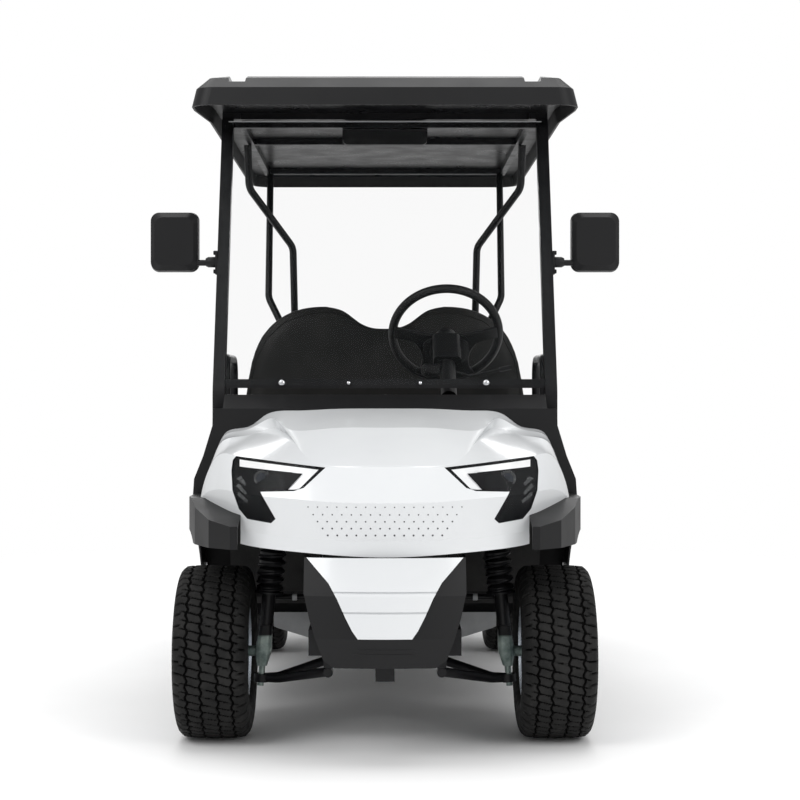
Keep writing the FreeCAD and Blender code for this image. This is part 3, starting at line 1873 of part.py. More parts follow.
def room_mirror():
    foot, knee, head = post_path()
    y0 = head.y + bar_size / 2 + seat_gap
    z1 = post_top_height - seat_gap
    half = room_mirror_width / 2
    shell = prism_y(
        [
            (-half, z1 - room_mirror_height),
            (half, z1 - room_mirror_height),
            (half, z1),
            (-half, z1),
        ],
        y0,
        y0 + room_mirror_depth,
        mirror_round * 0.7,
    )
    return shell


def main():
    os.makedirs("parts", exist_ok=True)
    towers = both_sides(strut_tower()) + both_sides(shock_tower())
    save("frame", frame() + [rack_housing()] + towers)
    save("floor_pan", [floor_pan()])
    save("cowl", [cowl()])
    save("headlamps", headlamps())
    save("headlamp_lenses", headlamp_lenses())
    save("wheel_flares", front_flares() + rear_flares())
    save("chin_surround", [chin()])
    save("chin_plate", [chin_plate()])
    save("dashboard", [dashboard()])
    save("steering_column", [steering_column()])
    save("pedals", pedals())
    save("windshield_frame", [windshield_frame()])
    save("windshield", [windshield()])
    save("roof", [roof()])
    save("roof_liner", [roof_liner()])
    save("roof_frame", [roof_rails()] + roof_stays())
    save("rear_body", [rear_body()])
    save("front_seat_back", [front_back()])
    save("rear_seat_back", [rear_back()])
    save("seat_back_frame", [seat_back_frame()])
    save("armrests", both_sides(armrest()))
    save("footrest", [footrest()])
    save("battery_pack", [battery()])
    save("tail_lamps", tail_lamps())
    save("mirrors", both_sides(side_mirror()) + [room_mirror()])
    save("rear_axle", [rear_axle()])
    save("rear_springs", rear_springs())
    save("front_arms", front_arms())
    save("tie_rods", [tie_rods()])
    save("steering_wheel", [steering_wheel()])
    save("front_seat_base", [front_seat_base()])
    save("front_cushion", [front_cushion()])
    save("rear_seat_board", [rear_seat_board()])
    save("rear_cushion", [rear_cushion()])
    left = knuckle()
    save("knuckle_left", [left])
    save("knuckle_right", [mirrored(left)])
    for end in ("front", "rear"):
        for side, word in ((1, "left"), (-1, "right")):
            centre = wheel_centre(end, side)
            save("tyre_" + end + "_" + word, [tyre(centre)])
            save("rim_" + end + "_" + word, [rim(centre, side, stub_radius + running_gap)])


main()
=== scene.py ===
import json
import math

import bmesh
import bpy
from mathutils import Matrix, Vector
from mathutils.bvhtree import BVHTree


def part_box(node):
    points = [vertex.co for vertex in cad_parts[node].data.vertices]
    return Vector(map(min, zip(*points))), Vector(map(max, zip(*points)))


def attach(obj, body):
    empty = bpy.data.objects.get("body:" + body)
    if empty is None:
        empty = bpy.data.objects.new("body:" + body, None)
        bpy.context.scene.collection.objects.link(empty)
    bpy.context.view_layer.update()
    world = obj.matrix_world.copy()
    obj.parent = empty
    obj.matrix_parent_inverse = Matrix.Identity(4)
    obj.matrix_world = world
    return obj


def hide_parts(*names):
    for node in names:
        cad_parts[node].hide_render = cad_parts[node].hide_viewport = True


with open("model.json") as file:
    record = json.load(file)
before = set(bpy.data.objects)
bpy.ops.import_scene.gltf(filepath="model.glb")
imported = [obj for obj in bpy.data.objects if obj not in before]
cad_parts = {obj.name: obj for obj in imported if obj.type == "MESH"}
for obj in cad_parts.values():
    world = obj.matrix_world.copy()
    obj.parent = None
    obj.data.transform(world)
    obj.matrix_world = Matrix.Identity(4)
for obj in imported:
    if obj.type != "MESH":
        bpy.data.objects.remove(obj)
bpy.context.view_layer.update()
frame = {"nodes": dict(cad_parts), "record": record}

nodes = frame["nodes"]

# Lengths are in metres. X points to the cart's left, Y to its back and Z up.
# A pair (x, z) is a point of the front view, and a profile is a list of (along the axis, radius).
SIDES = ((1, "left"), (-1, "right"))
FORWARD = (0, -1, 0)

# Finishes
MID_BAND = (0.35, 0.65)  # the part of a noise's range over which a finish changes
WIDE_BAND = (0.2, 0.8)
DRIFT_DETAIL, DRIFT_ROUGH = 5.0, 0.6
GRAIN_DETAIL = 3.0
ROUGH_SCALE = 3.1  # the roughness drifts this much finer than the colour
COAT_ROUGH = 0.08
SHEET_NOISE, SHEET_IOR, SHEET_GLOSS = 9.0, 1.45, 0.5


def new_material(name):
    mat = bpy.data.materials.new(name)
    mat.use_nodes = True
    tree = mat.node_tree
    tree.nodes.clear()
    out = tree.nodes.new("ShaderNodeOutputMaterial")
    bsdf = tree.nodes.new("ShaderNodeBsdfPrincipled")
    tree.links.new(bsdf.outputs[0], out.inputs["Surface"])
    return mat, tree, bsdf


def add(tree, kind, **values):
    node = tree.nodes.new(kind)
    for key, value in values.items():
        setattr(node, key, value)
    return node


def fill(node, values):
    """Set inputs of a node by their names."""
    for key, value in values.items():
        node.inputs[key].default_value = value


def object_coords(tree):
    return add(tree, "ShaderNodeTexCoord").outputs["Object"]


def noise(tree, scale, detail=4.0, rough=0.5):
    tex = add(tree, "ShaderNodeTexNoise")
    fill(tex, {"Scale": scale, "Detail": detail, "Roughness": rough})
    tree.links.new(object_coords(tree), tex.inputs["Vector"])
    return tex.outputs["Fac"]


def voronoi(tree, scale):
    tex = add(tree, "ShaderNodeTexVoronoi")
    fill(tex, {"Scale": scale})
    tree.links.new(object_coords(tree), tex.inputs["Vector"])
    return tex.outputs["Distance"]


def ramp(tree, source, low, high, at=MID_BAND):
    node = add(tree, "ShaderNodeMapRange")
    tree.links.new(source, node.inputs["Value"])
    fill(node, {"From Min": at[0], "From Max": at[1], "To Min": low, "To Max": high})
    return node.outputs["Result"]


def mix_colour(tree, source, low, high, at=MID_BAND):
    node = add(tree, "ShaderNodeValToRGB")
    for number, colour in enumerate((low, high)):
        element = node.color_ramp.elements[number]
        element.position = at[number]
        element.color = (*colour, 1)
    tree.links.new(source, node.inputs["Fac"])
    return node.outputs["Color"]


def bump(tree, bsdf, source, strength, distance):
    node = add(tree, "ShaderNodeBump")
    fill(node, {"Strength": strength, "Distance": distance})
    tree.links.new(source, node.inputs["Height"])
    tree.links.new(node.outputs["Normal"], bsdf.inputs["Normal"])


def surface(name, low, high, rough, metal=0.0, grain=None, coat=0.0, size=6.0, at=MID_BAND, gloss=0.5):
    """Colour and roughness that drift a little; grain is (kind, scale, bump strength, bump distance)."""
    mat, tree, bsdf = new_material(name)
    drift = noise(tree, size, DRIFT_DETAIL, DRIFT_ROUGH)
    tree.links.new(mix_colour(tree, drift, low, high, at), bsdf.inputs["Base Color"])
    tree.links.new(ramp(tree, noise(tree, size * ROUGH_SCALE), *rough), bsdf.inputs["Roughness"])
    fill(bsdf, {"Metallic": metal, "Specular IOR Level": gloss})
    fill(bsdf, {"Coat Weight": coat, "Coat Roughness": COAT_ROUGH})
    if grain:
        kind, scale, strength, distance = grain
        source = voronoi(tree, scale) if kind == "cells" else noise(tree, scale, GRAIN_DETAIL)
        bump(tree, bsdf, source, strength, distance)
    return mat


def clear(name, tint, rough, alpha):
    """Thin clear sheet: see-through with a glossy skin. rough is a (low, high) pair."""
    mat, tree, bsdf = new_material(name)
    tree.links.new(ramp(tree, noise(tree, SHEET_NOISE), *rough), bsdf.inputs["Roughness"])
    fill(bsdf, {"Base Color": (*tint, 1), "Alpha": alpha})
    fill(bsdf, {"IOR": SHEET_IOR, "Specular IOR Level": SHEET_GLOSS})
    return mat


# Each finish: darker colour, paler colour, (low, high) roughness, and what else it sets.
FINISHES = {
    "white_body": ((0.70, 0.715, 0.73), (0.74, 0.755, 0.765), (0.18, 0.26),
                   dict(coat=0.5, size=2.0, grain=("noise", 420.0, 0.02, 0.0006))),
    "black_plastic": ((0.0065, 0.0065, 0.0072), (0.0088, 0.0088, 0.0095), (0.42, 0.48),
                      dict(size=3.0, at=WIDE_BAND, gloss=0.25, grain=("cells", 1300.0, 0.10, 0.0003))),
    "roof_lining": ((0.004, 0.004, 0.005), (0.009, 0.009, 0.010), (0.26, 0.38), dict(size=3.0, gloss=0.12)),
    "floor_plastic": ((0.016, 0.016, 0.016), (0.034, 0.033, 0.032), (0.55, 0.75),
                      dict(size=4.0, grain=("cells", 380.0, 0.4, 0.0012))),
    "black_frame": ((0.005, 0.005, 0.006), (0.011, 0.011, 0.012), (0.28, 0.42),
                    dict(size=7.0, gloss=0.2, grain=("noise", 700.0, 0.12, 0.0003))),
    "grey_casting": ((0.10, 0.13, 0.12), (0.26, 0.30, 0.28), (0.42, 0.62),
                     dict(metal=0.5, size=14.0, grain=("noise", 260.0, 0.5, 0.0012))),
    "lamp_housing": ((0.004, 0.004, 0.005), (0.010, 0.010, 0.011), (0.30, 0.42), dict(gloss=0.12)),
    "red_lamp": ((0.30, 0.010, 0.010), (0.42, 0.02, 0.02), (0.10, 0.2),
                 dict(coat=0.6, grain=("cells", 150.0, 0.5, 0.002))),
    "seat_vinyl": ((0.007, 0.007, 0.0068), (0.015, 0.0145, 0.014), (0.40, 0.54),
                   dict(size=5.0, gloss=0.17, grain=("noise", 620.0, 0.10, 0.0003))),
    "seat_board": ((0.024, 0.024, 0.024), (0.032, 0.032, 0.032), (0.55, 0.65),
                   dict(at=WIDE_BAND, grain=("noise", 300.0, 0.2, 0.0006))),
    "battery_case": ((0.03, 0.03, 0.032), (0.06, 0.06, 0.062), (0.4, 0.6), {}),
    "tyre_rubber": ((0.011, 0.011, 0.011), (0.021, 0.0205, 0.020), (0.60, 0.82),
                    dict(size=16.0, gloss=0.14, grain=("noise", 320.0, 0.30, 0.0008))),
    "wheel_alloy": ((0.34, 0.38, 0.44), (0.52, 0.56, 0.61), (0.22, 0.34),
                    dict(metal=0.85, size=9.0, grain=("noise", 500.0, 0.1, 0.0004))),
    # The rest are for added pieces only, and no slot of the CAD uses them.
    "chrome": ((0.55, 0.56, 0.58), (0.70, 0.71, 0.73), (0.08, 0.16), dict(metal=1.0, size=30.0)),
    "lamp_strip": ((0.80, 0.81, 0.82), (0.90, 0.90, 0.90), (0.10, 0.18), dict(coat=0.5, size=20.0)),
    "lamp_fin": ((0.045, 0.048, 0.050), (0.085, 0.088, 0.090), (0.20, 0.30), dict(metal=0.3, size=20.0)),
    "lamp_glass": ((0.01, 0.012, 0.016), (0.03, 0.034, 0.042), (0.04, 0.08), dict(size=20.0)),
    # Painted shade: a darker rubber for the floors of the tread's grooves, cuts and notches.
    "tread_groove_shade": ((0.0015, 0.0015, 0.0015), (0.004, 0.004, 0.004), (0.80, 0.92),
                   dict(size=16.0, gloss=0.05)),
    "dot_grey": ((0.045, 0.045, 0.048), (0.085, 0.085, 0.09), (0.4, 0.6), dict(size=20.0)),
    "seam_dark": ((0.05, 0.05, 0.052), (0.09, 0.09, 0.092), (0.5, 0.7), dict(size=12.0)),
    "seam_pale": ((0.42, 0.43, 0.44), (0.52, 0.53, 0.54), (0.35, 0.5), dict(size=12.0)),
    "mirror_glass": ((0.62, 0.65, 0.68), (0.70, 0.72, 0.75), (0.02, 0.05), dict(metal=1.0, size=8.0)),
}
M = {name: surface(name, low, high, rough, **more) for name, (low, high, rough, more) in FINISHES.items()}
M["clear_panel"] = clear("clear_panel", (0.05, 0.06, 0.06), (0.02, 0.05), 0.03)


def paint(obj, material):
    obj.data.materials.clear()
    obj.data.materials.append(material)


slot_of = {row["node"]: row["material_slot"] for row in frame["record"]["subparts"]}
for name, obj in nodes.items():
    paint(obj, M[slot_of[name]])

PAINT_EDGE_Z = 0.285  # where a knuckle's bare casting ends and its black strut begins
PAINT_BLEND = 0.003
CAST_DARK, CAST_PALE, STRUT_BLACK = (0.12, 0.16, 0.15), (0.34, 0.40, 0.37), (0.008, 0.008, 0.009)
CAST_SIZE, CAST_ROUGH_SIZE, CAST_ROUGH, CAST_METAL, CAST_GLOSS = 22.0, 40.0, (0.30, 0.50), 0.5, 0.25
CAST_GRAIN = (260.0, 0.4, 0.001)  # scale, bump strength, bump distance


def casting_and_strut():
    """Green-grey casting near the hub that turns to black paint up the strut."""
    for name in ("knuckle_left", "knuckle_right"):
        obj = nodes[name]
        edge = (obj.matrix_world.inverted() @ Vector((0, 0, PAINT_EDGE_Z))).z
        mat, tree, bsdf = new_material("paint_" + name)
        split = add(tree, "ShaderNodeSeparateXYZ")
        tree.links.new(object_coords(tree), split.inputs["Vector"])
        high = ramp(tree, split.outputs["Z"], 0.0, 1.0, (edge - PAINT_BLEND, edge + PAINT_BLEND))
        drift = noise(tree, CAST_SIZE, DRIFT_DETAIL, DRIFT_ROUGH)
        cast_colour = mix_colour(tree, drift, CAST_DARK, CAST_PALE)
        mix = add(tree, "ShaderNodeMix", data_type="RGBA")
        tree.links.new(high, mix.inputs["Factor"])
        tree.links.new(cast_colour, mix.inputs["A"])
        fill(mix, {"B": (*STRUT_BLACK, 1)})
        tree.links.new(mix.outputs["Result"], bsdf.inputs["Base Color"])
        tree.links.new(ramp(tree, high, CAST_METAL, 0.0, (0.0, 1.0)), bsdf.inputs["Metallic"])
        tree.links.new(ramp(tree, noise(tree, CAST_ROUGH_SIZE), *CAST_ROUGH), bsdf.inputs["Roughness"])
        fill(bsdf, {"Specular IOR Level": CAST_GLOSS})
        scale, strength, distance = CAST_GRAIN
        bump(tree, bsdf, noise(tree, scale, GRAIN_DETAIL), strength, distance)
        paint(obj, mat)


casting_and_strut()


# Mesh helpers
def placed(mesh, name, slot, body, material=None):
    """An added object with a slot's finish, or its own, that rides on a body."""
    mesh.materials.append(material or M[slot])
    obj = bpy.data.objects.new(name, mesh)
    bpy.context.scene.collection.objects.link(obj)
    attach(obj, body)
    return obj


def piece(name, verts, faces, slot, body, smooth=True, material=None):
    """One added piece, made from points and faces in the part's frame."""
    mesh = bpy.data.meshes.new(name)
    mesh.from_pydata([tuple(v) for v in verts], [], faces)
    mesh.validate()
    if smooth:
        mesh.polygons.foreach_set("use_smooth", [True] * len(mesh.polygons))
    return placed(mesh, name, slot, body, material)


NEARLY_UP = 0.9
EDGE_SHARE = 0.9  # a chamfer takes at most this share of a block's half size


def frame_axes(direction):
    """The direction as a unit vector, and two more at right angles to it and each other."""
    d = Vector(direction).normalized()
    side = Vector((0, 0, 1)) if abs(d.z) < NEARLY_UP else Vector((0, 1, 0))
    u = d.cross(side).normalized()
    return d, u, d.cross(u).normalized()


def around(u, v, count):
    """Directions at equal steps of a full turn from u toward v."""
    turns = (2 * math.pi * k / count for k in range(count))
    return [u * math.cos(t) + v * math.sin(t) for t in turns]


class Lump:
    """Collects simple shapes into one joined mesh."""

    def __init__(self):
        self.verts = []
        self.faces = []

    def rings(self, loops, closed=False):
        """A skin over loops of equal length, capped at both ends unless it closes on itself."""
        base = len(self.verts)
        count = len(loops[0])
        for loop in loops:
            self.verts.extend(loop)
        for i in range(len(loops) if closed else len(loops) - 1):
            a = base + i * count
            b = base + ((i + 1) % len(loops)) * count
            for k in range(count):
                n = (k + 1) % count
                self.faces.append((a + k, b + k, b + n, a + n))
        if not closed:
            self.faces.append(tuple(range(base, base + count)))
            self.faces.append(tuple(range(base + (len(loops) - 1) * count, base + len(loops) * count))[::-1])

    def turned(self, centre, axis, profile, sides=24):
        """A profile turned round an axis through the centre."""
        d, u, v = frame_axes(axis)
        ways = around(u, v, sides)
        centre = Vector(centre)
        self.rings([[centre + d * along + way * radius for way in ways] for along, radius in profile])

    def tube(self, points, radius, sides=8, closed=False):
        """A round bar along the points, without twist from one to the next."""
        points = [Vector(p) for p in points]
        loops = []
        count = len(points)
        normal = None
        for i, p in enumerate(points):
            ahead = points[(i + 1) % count] if closed or i < count - 1 else p
            behind = points[i - 1] if closed or i > 0 else p
            d = (ahead - behind).normalized()
            if normal is None:
                normal = frame_axes(d)[1]
            normal = (normal - d * normal.dot(d)).normalized()
            loops.append([p + way * radius for way in around(normal, d.cross(normal), sides)])
        self.rings(loops, closed)

    def brick(self, centre, size, soft):
        """A block with all its edges chamfered by soft, or less where it is thin."""
        centre = Vector(centre)
        hx, hy, hz = (s / 2 for s in size)
        m = min(soft, hx * EDGE_SHARE, hy * EDGE_SHARE, hz * EDGE_SHARE)
        loops = []
        for height, inset in ((-hz, m), (-hz + m, 0), (hz - m, 0), (hz, m)):
            px, py = hx - inset, hy - inset
            ring = [(-px + m, -py), (px - m, -py), (px, -py + m), (px, py - m)]
            ring += [(px - m, py), (-px + m, py), (-px, py - m), (-px, -py + m)]
            loops.append([centre + Vector((a, b, height)) for a, b in ring])
        self.rings(loops)

    def done(self, name, slot, body, smooth=True, material=None, angle=32):
        """The piece, with edges sharper than angle kept sharp, or None if nothing was collected."""
        if not self.verts:
            return None
        obj = piece(name, self.verts, self.faces, slot, body, smooth, material)
        if smooth:
            obj.data.set_sharp_from_angle(angle=math.radians(angle))
        return obj


def tree_of(obj):
    verts = [obj.matrix_world @ v.co for v in obj.data.vertices]
    return BVHTree.FromPolygons(verts, [tuple(p.vertices) for p in obj.data.polygons])


trees = {}
FAR, FAR_SIDE, ABOVE_FLOOR = 5, 3, 0.62  # where rays start: before or behind, beside, and above
FACE_STEP = 0.012


def cast(node, start, way):
    """Point and normal where a ray first meets a CAD node, or None for both."""
    if node not in trees:
        trees[node] = tree_of(nodes[node])
    return trees[node].ray_cast(Vector(start), Vector(way))[:2]


def hit(node, x, z, from_back=False):
    """Where a line along Y at (x, z) meets a node, seen from the front or the back."""
    side = 1 if from_back else -1
    return cast(node, (x, side * FAR, z), (0, -side, 0))


def hits(node, points, from_back=False):
    """The points where lines along Y through (x, z) points meet a node, without the misses."""
    found = (hit(node, x, z, from_back)[0] for x, z in points)
    return [point for point in found if point is not None]


def dense(points, step):
    """The points with more between them, so that no gap is much wider than step."""
    out = []
    for a, b in zip(points, points[1:]):
        count = max(1, int((Vector(b) - Vector(a)).length / step))
        out += [tuple(Vector(a).lerp(Vector(b), i / count)) for i in range(count)]
    return out + [points[-1]]


def face_line(node, points, radius, lump):
    """A thin line drawn over the front of a node through (x, z) points."""
    path = hits(node, dense(points, FACE_STEP))
    if len(path) > 1:
        lump.tube(path, radius, sides=6)


OUTLINE_STEP = 0.010
LONG_EDGE, LONG_EDGE_CUTS = 0.02, 3
LAMP_FRONT_Y = -1.2  # stands in where the first point of a patch misses its node


def patch(name, outline, node, depth, material, lift=0.0):
    """A thin plate of a given (x, z) outline laid over the front of a lamp's node."""
    bm = bmesh.new()
    loop = dense([*outline, outline[0]], OUTLINE_STEP)[:-1]
    face = bm.faces.new([bm.verts.new((x, 0, z)) for x, z in loop])
    bmesh.ops.triangulate(bm, faces=[face])
    long_edges = [e for e in bm.edges if e.calc_length() > LONG_EDGE]
    bmesh.ops.subdivide_edges(bm, edges=long_edges, cuts=LONG_EDGE_CUTS)
    bmesh.ops.triangulate(bm, faces=bm.faces)
    bm.normal_update()
    if sum(f.normal.y * f.calc_area() for f in bm.faces) > 0:
        bmesh.ops.reverse_faces(bm, faces=bm.faces)
    y = LAMP_FRONT_Y
    for v in bm.verts:
        point, normal = hit(node, v.co.x, v.co.z)
        if point is not None:
            y = point.y - lift
        v.co.y = y
    grown = bmesh.ops.extrude_face_region(bm, geom=list(bm.faces))
    for v in (g for g in grown["geom"] if isinstance(g, bmesh.types.BMVert)):
        v.co.y -= depth
    bmesh.ops.recalc_face_normals(bm, faces=bm.faces)
    mesh = bpy.data.meshes.new(name)
    bm.to_mesh(mesh)
    bm.free()
    placed(mesh, name, "lamp_housing", "chassis", material)


# Tyres with road tread
RIM_HALF = 0.082
BEAD_RADIUS = 0.1273
LIP_RADIUS = 0.1383
# Sidewall points: (share of half the width, share of the height from the rim's lip to the tread).
WALL = [(0.90, 0.08), (0.95, 0.18), (0.99, 0.30), (1.0, 0.42), (1.0, 0.55), (0.99, 0.66), (0.965, 0.76)]
WALL += [(0.93, 0.84), (0.88, 0.90)]
GROOVES = (-0.60, -0.22, 0.22, 0.60)  # shares of half the width, as is the shoulder
SHOULDER = 0.80
RIB_POINTS = (0.34, 0.5, 0.66)  # shares of a rib's width
GROOVE_MOUTH, GROOVE_FLOOR, GROOVE_DEPTH = 0.0042, 0.0026, 0.0055  # the first two are half widths
CROWN_SLOPE, CROWN_DROP, CROWN_FROM, CROWN_POWER = 0.0012, 0.010, 0.35, 1.6
TREAD_ROWS = 720
WAVES, WAVE_REACH = 45, 0.0030
CUT_PITCH, CUT_ROWS, CUT_SLANT, CUT_DEPTH = 12, 2, 130, 0.0042  # cuts across the ribs
NOTCH_PITCH, NOTCH_ROWS, NOTCH_SLANT = 16, 3, 40  # notches in the shoulder
NOTCH_FROM, NOTCH_PULL = 0.915, 0.985  # shares of the radius and of x
TREAD_SHARP = 40
SHADE_CORNERS = 3  # a face of the tread gets the darker rubber, painted shade, where this many of its corners are sunk


def tyre_profile(half, radius):
    """Points across the tyre from bead to bead: (x, radius, kind)."""
    wall = [(RIM_HALF, BEAD_RADIUS, "bead"), (RIM_HALF, LIP_RADIUS, "bead")]
    wall += [(x * half, LIP_RADIUS + z * (radius - LIP_RADIUS), "wall") for x, z in WALL]
    marks = []
    for g in GROOVES:
        c = g * half
        marks += [(c - GROOVE_MOUTH, 0, "rib"), (c - GROOVE_FLOOR, 1, "groove")]
        marks += [(c + GROOVE_FLOOR, 1, "groove"), (c + GROOVE_MOUTH, 0, "rib")]
    edges = [-SHOULDER * half, *[g * half for g in GROOVES], SHOULDER * half]
    for a, b in zip(edges, edges[1:]):
        marks += [(a + (b - a) * share, 0, "rib") for share in RIB_POINTS]
    marks += [(-SHOULDER * half, 0, "shoulder"), (SHOULDER * half, 0, "shoulder")]
    tread = []
    for x, deep, kind in sorted(marks):
        share = abs(x) / half
        r = radius - CROWN_SLOPE * share - CROWN_DROP * max(0.0, share - CROWN_FROM) ** CROWN_POWER
        tread.append((x, r - deep * GROOVE_DEPTH, kind))
    return [(-x, r, kind) for x, r, kind in wall] + tread + wall[::-1]


def tyre(node, body):
    """A turned tyre with waved grooves, cuts across its ribs and notches in its shoulders, their sunk faces
    in a darker rubber as painted shade.
    """
    lo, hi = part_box(node)
    centre = (lo + hi) / 2
    half = (hi.x - lo.x) / 2
    radius = (hi.z - lo.z) / 2
    profile = tyre_profile(half, radius)
    count = len(profile)
    verts, faces, deep = [], [], []
    for k in range(TREAD_ROWS):
        t = 2 * math.pi * k / TREAD_ROWS
        wave = WAVE_REACH * math.sin(WAVES * t)
        for x, r, kind in profile:
            if kind in ("rib", "groove"):
                x += wave
                cut = kind == "rib" and (k + int((x + half) * CUT_SLANT)) % CUT_PITCH < CUT_ROWS
                if cut:
                    r -= CUT_DEPTH
                sunk = cut or kind == "groove"
            else:
                notch = (k + int(abs(x) * NOTCH_SLANT)) % NOTCH_PITCH < NOTCH_ROWS
                sunk = r > radius * NOTCH_FROM and notch
                if sunk:
                    r -= GROOVE_DEPTH
                    x *= NOTCH_PULL
            deep.append(sunk)
            verts.append(centre + Vector((x, r * math.sin(t), r * math.cos(t))))
    for k in range(TREAD_ROWS):
        a, b = k * count, ((k + 1) % TREAD_ROWS) * count
        for j in range(count - 1):
            faces.append((a + j, b + j, b + j + 1, a + j + 1))
        faces.append((a + count - 1, b + count - 1, b, a))
    obj = piece(node + "_tread", verts, faces, "tyre_rubber", body)
    # Faces sunk in grooves, cuts and notches take the darker rubber as painted shade.
    obj.data.materials.append(M["tread_groove_shade"])
    for polygon in obj.data.polygons:
        if sum(deep[v] for v in polygon.vertices) >= SHADE_CORNERS:
            polygon.material_index = 1
    obj.data.set_sharp_from_angle(angle=math.radians(TREAD_SHARP))
    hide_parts(node)


WHEELS = {
    "front_left": ("wheel_fl", 1),
    "front_right": ("wheel_fr", -1),
    "rear_left": ("wheel_rl", 1),
    "rear_right": ("wheel_rr", -1),
}
DISC_RECESS, DISC_PROUD = 0.034, 0.008  # from the rim's edge in to the disc, and from there out to its face
NUT_COUNT, NUT_CIRCLE = 4, 0.038
VALVE_OUT, VALVE_CIRCLE = 0.060, 0.1115
NUT = [(-0.003, 0.0095), (0.010, 0.0095), (0.013, 0.0075), (0.0145, 0.004)]
HUB_CAP = [(0.004, 0.027), (0.0125, 0.026), (0.0145, 0.022), (0.0125, 0.018), (0.012, 0.001)]
VALVE = [(-0.02, 0.004), (0.016, 0.0035), (0.02, 0.003)]


def wheel_trim(word, body, side):
    """Nuts round the hub, a cap and a valve stem."""
    lo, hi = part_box("rim_" + word)
    centre = (lo + hi) / 2
    out = Vector((side, 0, 0))
    face = centre + out * (RIM_HALF - DISC_RECESS + DISC_PROUD)
    nuts = Lump()
    for i in range(NUT_COUNT):
        t = math.pi / NUT_COUNT + i * 2 * math.pi / NUT_COUNT
        nuts.turned(face + Vector((0, math.cos(t), math.sin(t))) * NUT_CIRCLE, out, NUT, sides=6)
    nuts.done("nuts_" + word, "wheel_alloy", body, material=M["chrome"], angle=25)
    cap = Lump()
    cap.turned(face, out, HUB_CAP, sides=40)
    cap.done("hub_cap_" + word, "black_plastic", body)
    valve = Lump()
    valve.turned(centre + out * VALVE_OUT + Vector((0, 0, VALVE_CIRCLE)), out, VALVE, sides=10)
    valve.done("valve_" + word, "black_plastic", body)


# Cushions
# Each soft node: its body, the axis across the side it rests on, and whether that side is the low one.
PADS = [
    ("front_cushion", "front_seat", 2, True),
    ("rear_cushion", "rear_seat", 2, True),
    ("front_seat_back", "chassis", 1, False),
    ("rear_seat_back", "chassis", 1, True),
]
PAD_MARGIN = 0.009  # the pad starts this much inside its solid and swells out
PAD_VOXEL = 0.011
WELD = 0.0002
SWELL_CAP = 0.024
SWELL_FRAMES = 20
PRESSURE = 4.0
REST_FLAT = 0.006
PIPING_RADIUS, PIPING_LIFT, PIPING_STEP = 0.0026, 0.0006, 0.012
SEAM_IN, SEAM_OUT, SEAM_UP, SEAM_CORNER = 0.016, -0.01, 0.012, 0.04
CORNER_STEPS = 6
BACK_SEAM_IN, BACK_SEAM_OFF = 0.014, 0.01
# Right half of a seat back's outline: (share of half the width, share of the height).
BACK = [(0.93, 0.0), (1.0, 0.10), (0.995, 0.34), (0.95, 0.60), (0.86, 0.80), (0.72, 0.93), (0.55, 0.99)]
BACK += [(0.42, 1.0), (0.30, 0.975), (0.18, 0.90), (0.10, 0.865), (0.0, 0.855)]


def applied(obj):
    """The object's mesh with its modifiers applied, which are then taken off."""
    graph = bpy.context.evaluated_depsgraph_get()
    fresh = bpy.data.meshes.new_from_object(obj.evaluated_get(graph))
    obj.modifiers.clear()
    obj.data = fresh
    return fresh


def soft_copy(node):
    """A closed, evenly meshed copy of a CAD pad, a little smaller than the solid."""
    src = nodes[node]
    mesh = src.data.copy()
    mesh.transform(src.matrix_world)
    lo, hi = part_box(node)
    mid = (lo + hi) / 2
    scale = [1 - 2 * PAD_MARGIN / (hi[k] - lo[k]) for k in range(3)]
    for v in mesh.vertices:
        v.co = Vector([mid[k] + (v.co[k] - mid[k]) * scale[k] for k in range(3)])
    obj = bpy.data.objects.new(node + "_pad", mesh)
    bpy.context.scene.collection.objects.link(obj)
    obj.modifiers.new("weld", "WELD").merge_threshold = WELD
    remesh = obj.modifiers.new("remesh", "REMESH")
    remesh.mode = "VOXEL"
    remesh.voxel_size = PAD_VOXEL
    applied(obj)
    return obj


def swell(pads):
    """Cloth pressure rounds the pads; each point moves by no more than SWELL_CAP."""
    scene = bpy.context.scene
    starts = {}
    for obj in pads:
        starts[obj.name] = [v.co.copy() for v in obj.data.vertices]
        cloth = obj.modifiers.new("swell", "CLOTH")
        cloth.settings.quality = 3
        cloth.settings.use_pressure = True
        cloth.settings.uniform_pressure_force = PRESSURE
        cloth.settings.effector_weights.gravity = 0.0
        cloth.collision_settings.use_collision = False
        cloth.point_cache.frame_start = 1
        cloth.point_cache.frame_end = SWELL_FRAMES
    for number in range(1, SWELL_FRAMES + 1):
        scene.frame_set(number)
    graph = bpy.context.evaluated_depsgraph_get()
    for obj in pads:
        moved = [v.co.copy() for v in obj.evaluated_get(graph).data.vertices]
        obj.modifiers.clear()
        for v, start, end in zip(obj.data.vertices, starts[obj.name], moved):
            step = end - start
            if step.length > SWELL_CAP:
                step *= SWELL_CAP / step.length
            v.co = start + step
    scene.frame_set(1)


def settle(obj, lo, hi, node, body, axis, at_low):
    """Fit the pad into its solid's box, flat on the side it rests on, and finish the mesh."""
    coords = [v.co.copy() for v in obj.data.vertices]
    mins = [min(c[k] for c in coords) for k in range(3)]
    maxs = [max(c[k] for c in coords) for k in range(3)]
    if at_low:
        mins[axis] += REST_FLAT
    else:
        maxs[axis] -= REST_FLAT
    for v in obj.data.vertices:
        c = v.co
        c[axis] = max(c[axis], mins[axis]) if at_low else min(c[axis], maxs[axis])
        for k in range(3):
            c[k] = lo[k] + (c[k] - mins[k]) / (maxs[k] - mins[k]) * (hi[k] - lo[k])
    sub = obj.modifiers.new("fine", "SUBSURF")
    sub.levels = 1
    sub.render_levels = 1
    fresh = applied(obj)
    fresh.polygons.foreach_set("use_smooth", [True] * len(fresh.polygons))
    paint(obj, M["seat_vinyl"])
    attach(obj, body)
    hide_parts(node)


